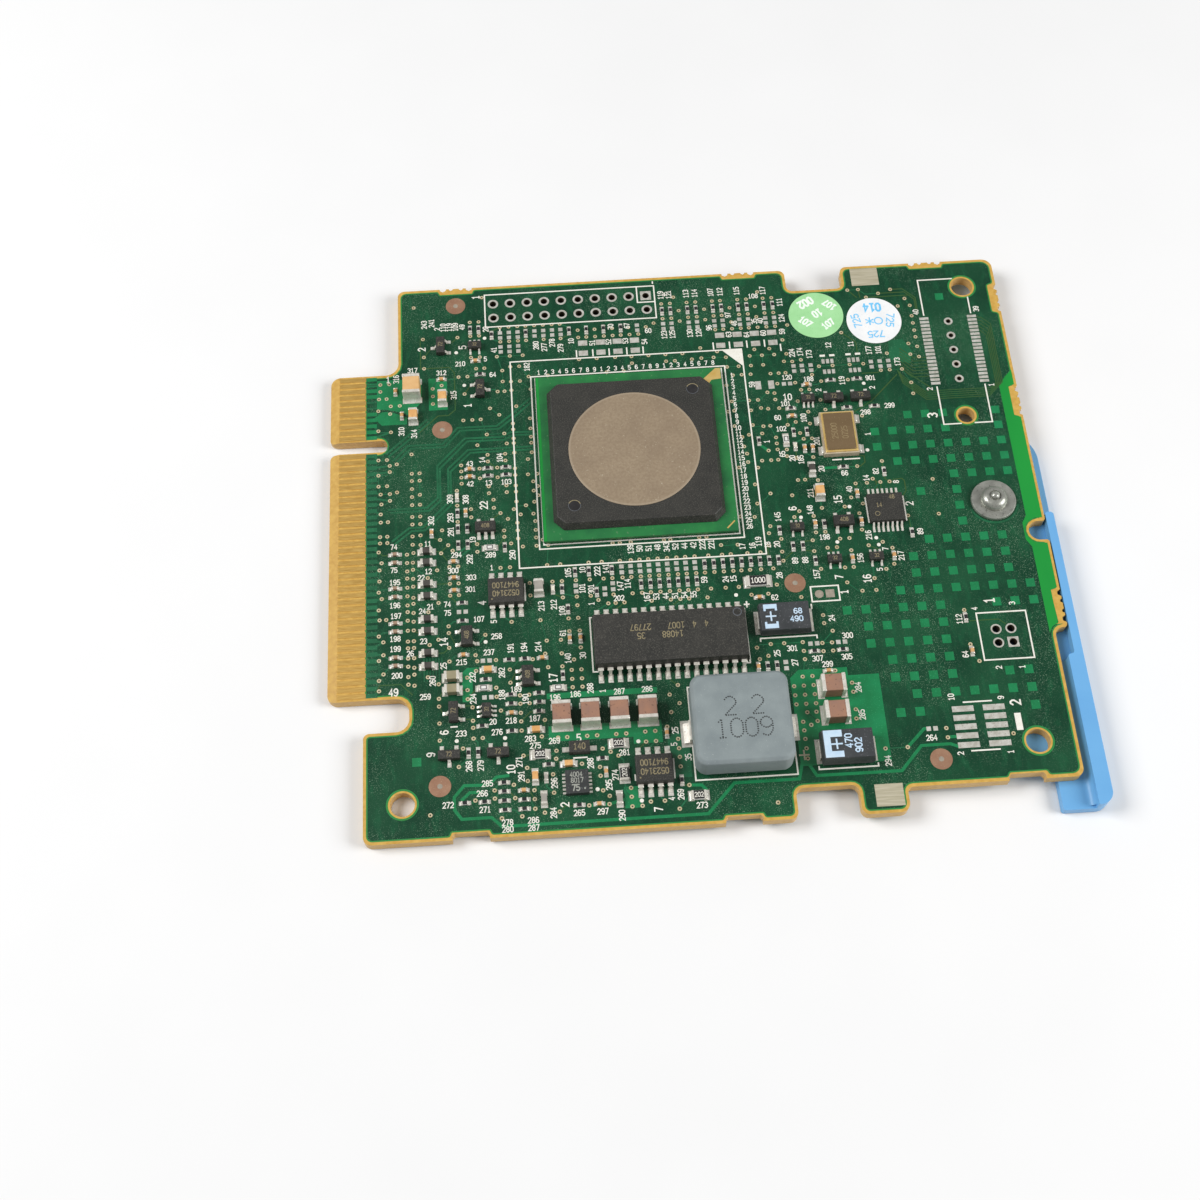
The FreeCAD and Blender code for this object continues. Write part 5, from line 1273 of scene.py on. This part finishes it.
BIG, MEDIUM, SMALL = 1.3, 1.0, 0.74
LABELS = (                          # turn, height, x,y,figures of every label
    (90, SMALL, """
    137,207,243 148,209,241 156,198,2 165,200,110 174,200,119 183,200,109 193,199,49 95,113,316
    178,80,315 102,23,310 120,18,314 239,155,41 228,193,20 216,-32,14 241,-30,104 169,-93,309
    191,-95,308 142,-126,302 169,-123,293 169,-145,291 194,-190,292 253,-187,290 199,-160,19
    224,-287,5 245,-328,191 263,-328,194 282,-328,214 155,-348,25 140,-369,260 193,-367,232
    232,-363,282 193,-398,234 231,-395,188 262,-403,190 185,-492,268 200,-492,279 252,-510,291
    250,-490,271 294,-522,296 291,-562,284 328,-220,105 348,-217,10 368,-220,222 380,-217,141
    346,-245,101 358,-247,301 398,-245,147 408,-242,114 289,-268,213 306,-267,212 317,-277,108
    357,-269,1 316,-310,61 341,-345,30 321,-348,140 348,-393,288 364,-398,1 342,-498,288
    373,-516,274 364,-529,295 455,-460,25 452,-479,5 469,-498,35 455,-548,269 443,-553,4
    378,-571,290 644,235,117 667,212,111 667,183,124 588,194,97 596,178,46 626,180,35 635,180,40
    491,165,123 503,165,125 529,165,130 542,165,120 558,173,96 586,159,63 612,157,64 637,158,60
    665,159,59 301,159,280 313,155,277 325,162,278 337,152,279 353,163,10 286,122,182 413,185,70
    437,185,67 384,158,51 408,158,52 433,158,53 461,155,54 675,120,224 687,121,174 700,116,173
    730,130,12 763,130,11 788,117,177 802,117,101 827,94,173 742,67,119 611,69,59 706,53,2 784,52,2
    867,180,40 957,180,39 867,44,2 957,45,1 622,-29,1 679,7,100 693,-33,201 767,-26,1 642,-51,65
    655,-59,20 667,-62,185 694,-79,20 770,-88,82 755,-98,14 796,-107,8 674,-117,211 729,-115,40
    670,-144,148 624,-152,145 746,-189,216 570,-195,17 584,-195,16 593,-189,119 605,-195,18
    618,-195,20 818,-188,89 766,-212,7 513,-243,59 542,-244,24 553,-244,15 616,-243,28 640,-222,89
    654,-222,88 667,-245,157 730,-224,156 786,-224,217 754,-243,5 679,-312,24 600,-359,25
    622,-374,27 701,-415,284 701,-454,285 726,-520,294 821,-437,10 821,-516,2 886,-442,9 886,-518,1
    850,-325,112 850,-377,64 873,-311,4 925,-306,3 891,-399,2 922,-400,1 491,237,119 503,237,121
    529,237,113 542,237,114 566,237,107 580,237,112 605,237,115"""),
    (90, MEDIUM, """
    133,163,2 193,163,5 198,61,1 215,252,1 216,-106,22 209,-258,4 156,-313,14 300,-375,17 154,-443,6
    136,-473,9 239,-500,10 306,-552,2 425,-566,7 711,-130,15 646,-140,6 697,-251,7 701,-274,1
    735,-256,16 809.5,-143,2"""),
    (90, BIG, """
    864,-1,3 895,-300,1 904,-450,2"""),
    (0, SMALL, """
    189,134,210 226,140,5 236,112,64 119,127,317 161,120,312 198,-37,43 198,-70,42 224,-70,13
    249,-70,103 90,-164,74 137,-162,11 176,-182,294 223,-185,289 90,-200,75 137,-205,12 171,-206,300
    224,-205,1 91,-219,195 127,-214,22 195,-218,303 194,-236,301 91,-254,196 92,-270,197 139,-259,21
    128,-265,24 162,-257,74 162,-270,75 204,-282,107 91,-304,198 129,-310,23 91,-319,199 111,-327,26
    227,-309,258 179,-344,215 216,-332,237 93,-358,200 130,-391,259 218,-432,20 242,-432,218
    250,-388,189 273,-431,187 301,-403,196 176,-446,233 223,-447,276 266,-459,283 272,-469,275
    297,-464,269 208,-517,285 201,-530,266 157,-543,272 204,-552,271 232,-571,278 232,-580,280
    265,-570,286 265,-580,287 395,-263,202 328,-400,186 386,-400,287 423,-399,286 387,-486,281
    481,-564,273 324,-564,265 354,-564,297 629,226,108 468,174,60 663,78,120 694,73,188 656,33,101
    642,10,60 645,-9,102 726,-88,66 685,-188,198 769,11,298 805,20,299 784,69,901 606,-276,62
    697,-339,300 621,-353,301 653,-370,307 692,-370,305 665,-379,299 787,-492,264"""),
    (0, MEDIUM, """
    83.5,113,1 88,-382,49 329,-462,5 660,44,10"""),
)
for degrees, tall, labels in LABELS:
    for label in labels.split():
        x, y, text = label.split(",")
        figures(ink, text, float(x) / 10, float(y) / 10, tall, INK, degrees)
UNDER_CONTROLLER = ("139", "50", "51", "48", "343", "52", "44", "42", "222", "221")
for index, text in enumerate(UNDER_CONTROLLER):
    figures(ink, text, 41.6 + 1.24 * index, -18.9, SMALL, INK, 90)
for index, text in enumerate(("167", "53", "44", "51", "54", "55")):
    figures(ink, text, 43.3 + 1.27 * index, -26.4, SMALL, INK, 90)
for index in range(26):             # ball rows and columns of the controller
    figures(ink, str(index + 1), 58.35, 8.7 - index * 1.004, 0.7, INK, 0)
    figures(ink, str(index % 9 + 1), 30.3 + index * 1.02, 11.1, 0.7, INK, 0)
figures(ink, "+", 56.7, -28.4, 1.3, INK)
ink.build("white_board_print", ["ink"], "solder_mask")

# ---------------- print and marks on parts

PRINT, SUNK = 0.012, 0.01           # how far print stands above a part and reaches into it


def print_on(node, name, finish, slot, rows=(), marks=None, each=False):
    """Thin print on a part, or on each of its solids: rows of figures, then any other marks.

    A row holds the figures, their place from the middle, their height, turn and weight, and at
    times their breadth. Without a turn they run along the part's longer side.
    """
    low, high = box_mm(node)
    shape, levels = Shape(), (high.z - SUNK, high.z + PRINT)
    for centre, size in islands(node) if each else [((low + high) / 2, high - low)]:
        for text, x, y, tall, degrees, weight, *squeeze in rows:
            if degrees is None:
                degrees = 90 if size.y > size.x else 0
            figures(shape, text, centre.x + x, centre.y + y, tall, levels, degrees, weight,
                    *squeeze)
        if marks:
            marks(shape, levels, centre, size)
    shape.build(name, [finish, "mould_edge"], slot)


def inductor_print(shape, levels, centre, size):
    """Figures written in rows of dots."""
    unit = 0.255
    for text, x, y, pitch in (("2", -1.45, 1.5, 0), ("2", 2.1, 1.5, 0), ("1009", 0.1, -1.55, 1.9)):
        for place, figure in enumerate(text):
            shift = (place - (len(text) - 1) / 2) * pitch
            for stroke in STROKES[figure]:
                dots = [Vector((centre.x + x + shift + (u - FIELD_WIDTH / 2) * unit,
                                centre.y + y + (v - FIELD_HEIGHT / 2) * unit))
                        for u, v in stroke]
                for start, end in zip(dots, dots[1:]):
                    steps = max(1, round((end - start).length / 0.3))
                    for step in range(steps):
                        spot = start.lerp(end, (step + 0.5) / steps)
                        shape.prism(circle(spot.x, spot.y, 0.107, 8), levels)


def film_frame(shape, levels, centre, size):
    """Grey frame round the film of a pale chip resistor."""
    length, width = (0.5, 0.75) if size.y > size.x else (0.75, 0.5)
    shape.strip(rectangle(centre.x, centre.y, length, width), 0.1, levels, 0, True)


def tantalum_print(shape, levels, centre, size):
    """Polarity marks and figures: the low one faces along the board, the tall one across it."""
    short, tall = sorted(islands("tantalum_capacitor_bodies"), key=lambda item: item[1].z)
    x, y = short[0].x, short[0].y
    top = short[0].z + short[1].z / 2
    here = (top - SUNK, top + PRINT)
    for side in (-1, 1):
        for left, right, inner, outer in ((-2.8, -0.98, 1.13, 1.78), (-2.8, -2.5, 0.8, 1.15),
                                          (-1.28, -0.98, 0.8, 1.15)):
            shape.prism(between(x + left, x + right, *sorted((y + side * inner,
                                                              y + side * outer))), here)
    figures(shape, "+", x - 1.88, y, 2.1, here, 0, 0.1, 1.0)
    figures(shape, "68", x + 1.78, y + 0.58, 0.74, here, 0, 0.2, 0.95)
    figures(shape, "490", x + 1.5, y - 0.55, 0.74, here, 0, 0.2, 0.95)
    x, y = tall[0].x, tall[0].y
    for left, right, low, high in ((-3.12, -2.25, -1.85, 1.85), (-2.25, -0.72, 0.92, 1.85),
                                   (-2.25, -0.72, -1.85, -1.02)):
        shape.prism(between(x + left, x + right, y + low, y + high), levels)
    figures(shape, "+", x - 1.5, y - 0.05, 2.1, levels, 0, 0.1, 1.05)
    figures(shape, "470", x + 0.05, y + 0.3, 0.86, levels, 90, 0.2, 0.92)
    figures(shape, "902", x + 1.25, y - 0.35, 0.86, levels, 90, 0.2, 0.92)


def ring_and_star(shape, levels, centre, size):
    shape.ring(centre.x + 0.65, centre.y - 0.1, 0.5, 0.68, levels, 28)
    spot = Vector((centre.x - 0.65, centre.y - 0.1))
    for turn in range(3):
        angle = math.radians(60 * turn + 90)
        reach = Vector((math.cos(angle), math.sin(angle))) * 0.62
        shape.strip([spot - reach, spot + reach], 0.17, (levels[0], levels[1] + 0.001 * turn))


MOULD = ("mould_mark", "mould_compound")
print_on("power_inductor_body", "inductor_figures", "ferrite_mark", "ferrite_block",
         marks=inductor_print)
print_on("memory_chip_body", "memory_figures", *MOULD, (
    ("27797", -3.9, 1.3, 0.85, 180, 0.14), ("1007", 0.85, 1.3, 0.85, 180, 0.14),
    ("4", 3.3, 1.3, 0.85, 180, 0.14), ("4", 4.9, 1.3, 0.85, 180, 0.14),
    ("35", -3.9, 0.06, 0.85, 180, 0.14), ("14088", 0.3, 0.06, 0.85, 180, 0.14)),
    lambda shape, levels, centre, size: shape.ring(
        centre.x + size.x / 2 - 1.15, centre.y + size.y / 2 - 1.0, 0.5, 0.6, levels, 24, 1))
print_on("logic_chip_body", "logic_figures", *MOULD, (
    ("48", 0.95, 1.5, 0.62, 0, 0.15), ("14", -0.95, 0.3, 0.62, 0, 0.15)),
    lambda shape, levels, centre, size: shape.ring(
        centre.x - size.x / 2 + 1.15, centre.y - size.y / 2 + 1.15, 0.28, 0.36, levels, 20))
print_on("power_switch_bodies", "power_switch_figures", *MOULD, (
    ("9447100", 0, 0.72, 0.78, 180, 0.16), ("0523140", 0, -0.5, 0.78, 180, 0.16)),
    lambda shape, levels, centre, size: shape.prism(
        circle(centre.x - 1.9, centre.y - 1.3, 0.12, 12), levels), True)
print_on("power_controller_body", "power_controller_figures", "pale_mark", "mould_compound", (
    ("4004", -0.1, 0.95, 0.62, 0, 0.16), ("8017", 0, 0.15, 0.62, 0, 0.16),
    ("75", -0.2, -0.85, 0.8, 0, 0.2)),
    lambda shape, levels, centre, size: shape.prism(circle(
        centre.x + size.x / 2 - 0.55, centre.y - size.y / 2 + 0.6, 0.12, 12), levels))
print_on("oscillator_lid", "oscillator_figures", "lid_mark", "bronze_lid", (
    ("25000", -0.75, 0, 0.8, 90, 0.12), ("0725", 0.7, -0.3, 0.8, 90, 0.12)))
print_on("small_resistors", "small_resistor_frames", "bead", "black_film", (), film_frame, True)
for node, name, text, tall in (("transistor_bodies", "transistor_figures", "72", 0.6),
                               ("regulator_bodies", "regulator_figures", "408", 0.6),
                               ("logic_gate_bodies", "logic_gate_figures", "32", 0.5)):
    print_on(node, name, *MOULD, ((text, 0, 0, tall, None, 0.14),), None, True)
print_on("tantalum_capacitor_bodies", "tantalum_marks", "tantalum_mark", "tantalum_case",
         marks=tantalum_print)
print_on("diode_body", "diode_figures", *MOULD, (("140", 0, 0, 0.8, None, 0.14),), None, True)
for node, text, tall in (("sense_resistor", "1000", 0.75), ("medium_resistors", "202", 0.6)):
    name = node.rstrip("s") + "_figures"
    print_on(node, name, "ink", "black_film", ((text, 0, 0, tall, None, 0.15),), None, True)
print_on("green_paper_label", "green_label_figures", "white_print", "green_paper", (
    ("002", -1.3, 2.3, 1.2, 208, 0.26), ("10", 0.2, 0.3, 1.1, 208, 0.26),
    ("107", 2.2, 1.7, 1.0, 138, 0.26), ("107", -1.7, -1.1, 1.0, 318, 0.26),
    ("107", 1.6, -1.7, 1.0, 34, 0.26)))
print_on("white_paper_label", "white_label_figures", "blue_print", "white_paper", (
    ("014", 0, 2.35, 1.35, 180, 0.22), ("725", -2.6, 0.1, 1.05, 100, 0.16, 0.95),
    ("725", 2.4, -0.1, 1.05, 260, 0.16, 0.95), ("725", 0, -2.45, 1.05, 180, 0.16, 0.95)),
    ring_and_star)
for colour in ("green", "white"):
    node, look = f"{colour}_paper_label", f"{colour}_paper"
    low, high = box_mm(node)
    middle, radius = (low + high) / 2, (high.x - low.x) / 2
    turned_piece(node, f"{colour}_label_disc", look, look, [
        (AXIS, low.z), (radius, low.z), (radius + 0.01, high.z - 0.02),
        (radius - 0.03, high.z), (AXIS, high.z)], middle, 96)

cap_low, cap_high = box_mm("controller_mould_cap")
cap_middle = (cap_low + cap_high) / 2
cap_marks = Shape()
cap_levels = (cap_high.z - SUNK, cap_high.z + PRINT)
for x, y in ((-8.95, -8.75), (9.0, 9.35)):
    spot = (cap_middle.x + x, cap_middle.y + y)
    cap_marks.prism(circle(*spot, 0.78, 32), (cap_levels[0], sum(cap_levels) / 2), 1)
    cap_marks.ring(*spot, 0.81, 0.86, cap_levels, 36)
    # Painted highlight: a pale crescent on the upper rim of each ejector mark, where light catches
    # its wall.
    cap_marks.strip(arc(spot, 0.85, 20, 150, 12), 0.12, cap_levels, 2)
cap_marks.build("controller_ejector_marks", ["mould_edge", "film", "mould_mark"],
                "mould_compound")
edge_low, edge_high = box_mm("controller_substrate")
corner_marks = Shape()
gold_levels = (edge_high.z - SUNK, edge_high.z + PRINT)
corner_marks.prism([(edge_high.x + x, edge_high.y + y) for x, y in (
    (-0.1, -0.1), (-0.8, -0.1), (-2.77, -1.92), (-2.0, -2.8), (-1.48, -2.06), (-0.1, -1.92))],
    gold_levels)
corner_marks.strip([(edge_high.x - 1.5, edge_low.y + 0.5), (edge_high.x - 0.5, edge_low.y + 1.5)],
                   0.2, gold_levels)
# Painted light: a bright green strip along the substrate's left edge, where light catches the edge
# of the laminate.
corner_marks.strip([(edge_low.x + 0.3, edge_high.y - 0.2), (edge_low.x + 0.3, edge_low.y + 0.2)],
                   0.36, gold_levels, 1)
corner_marks.build("controller_corner_marks", ["gold_rim", "bright_flood"], "package_laminate")

# ---------------- board, stage, camera, light

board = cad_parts["printed_circuit_board"]
board.data.materials.clear()
board.data.materials.append(FINISHES["laminate"])

# The card lies on the edge of its tongue and on the underside of its lever.
lever_low = box_mm("release_lever")[0]
REST_LEFT = Vector((0, 0, BACK - 0.07))
REST_RIGHT = Vector((lever_low.x, 0, lever_low.z - 0.01))
FLOOR_HALF = 2500
slope = (REST_RIGHT.z - REST_LEFT.z) / (REST_RIGHT.x - REST_LEFT.x)
floor_mesh = bpy.data.meshes.new("floor")
floor_mesh.from_pydata([Vector((x, y, REST_LEFT.z + slope * x)) * MM for x, y in rectangle(
    0, 0, 2 * FLOOR_HALF, 2 * FLOOR_HALF)], [], [[0, 1, 2, 3]])
floor_object = bpy.data.objects.new("floor", floor_mesh)
bpy.context.scene.collection.objects.link(floor_object)
paper = Paint("floor_paper", Specular_IOR_Level=0.1, Roughness=0.9)
fleck = paper.noise(0.05, 2.0)
paper.feed({"Base Color": paper.mix(fleck, srgb(236, 236, 236), srgb(240, 240, 240))})
floor_mesh.materials.append(paper.material)

# The lens sees the card from above its lower edge, with the tongue on the left.
LENS = 48.194
CAMERA_TURN = Vector((2.68351, -0.0869, 0.008685))
CAMERA_SHIFT = Vector((-38.484, -21.088, 229.712))
turn = Matrix.Rotation(CAMERA_TURN.length, 3, CAMERA_TURN.normalized())
axes = (turn.transposed() @ Matrix.Diagonal((1, -1, -1))).to_4x4()
eye = bpy.data.cameras.new("camera")
eye.lens, eye.sensor_width = LENS, 36
eye.clip_start, eye.clip_end = 0.01, 50             # metres
camera = bpy.data.objects.new("camera", eye)
camera.matrix_world = Matrix.Translation(-(turn.transposed() @ CAMERA_SHIFT) * MM) @ axes
bpy.context.scene.collection.objects.link(camera)
bpy.context.scene.camera = camera


def soft_light(name, place, aim, side, power):
    lamp = bpy.data.lights.new(name, "AREA")
    lamp.shape, lamp.size, lamp.energy = "SQUARE", side * MM, power
    holder = bpy.data.objects.new(name, lamp)
    holder.location = Vector(place) * MM
    holder.rotation_euler = (Vector(aim) - Vector(place)).to_track_quat("-Z", "Y").to_euler()
    bpy.context.scene.collection.objects.link(holder)


BOARD_MIDDLE = ((BOARD_LOW.x + BOARD_HIGH.x) / 2, (BOARD_LOW.y + BOARD_HIGH.y) / 2, 0)
soft_light("key_light", (-380, 40, 420), BOARD_MIDDLE, side=300, power=2.65)
soft_light("fill_light", (520, -140, 300), BOARD_MIDDLE, side=300, power=2.4)
world = bpy.data.worlds.new("studio")
world.use_nodes = True
world.node_tree.nodes["Background"].inputs["Color"].default_value = (1, 1, 1, 1)
world.node_tree.nodes["Background"].inputs["Strength"].default_value = 0.3
bpy.context.scene.world = world
bpy.context.scene.view_settings.view_transform = "Standard"
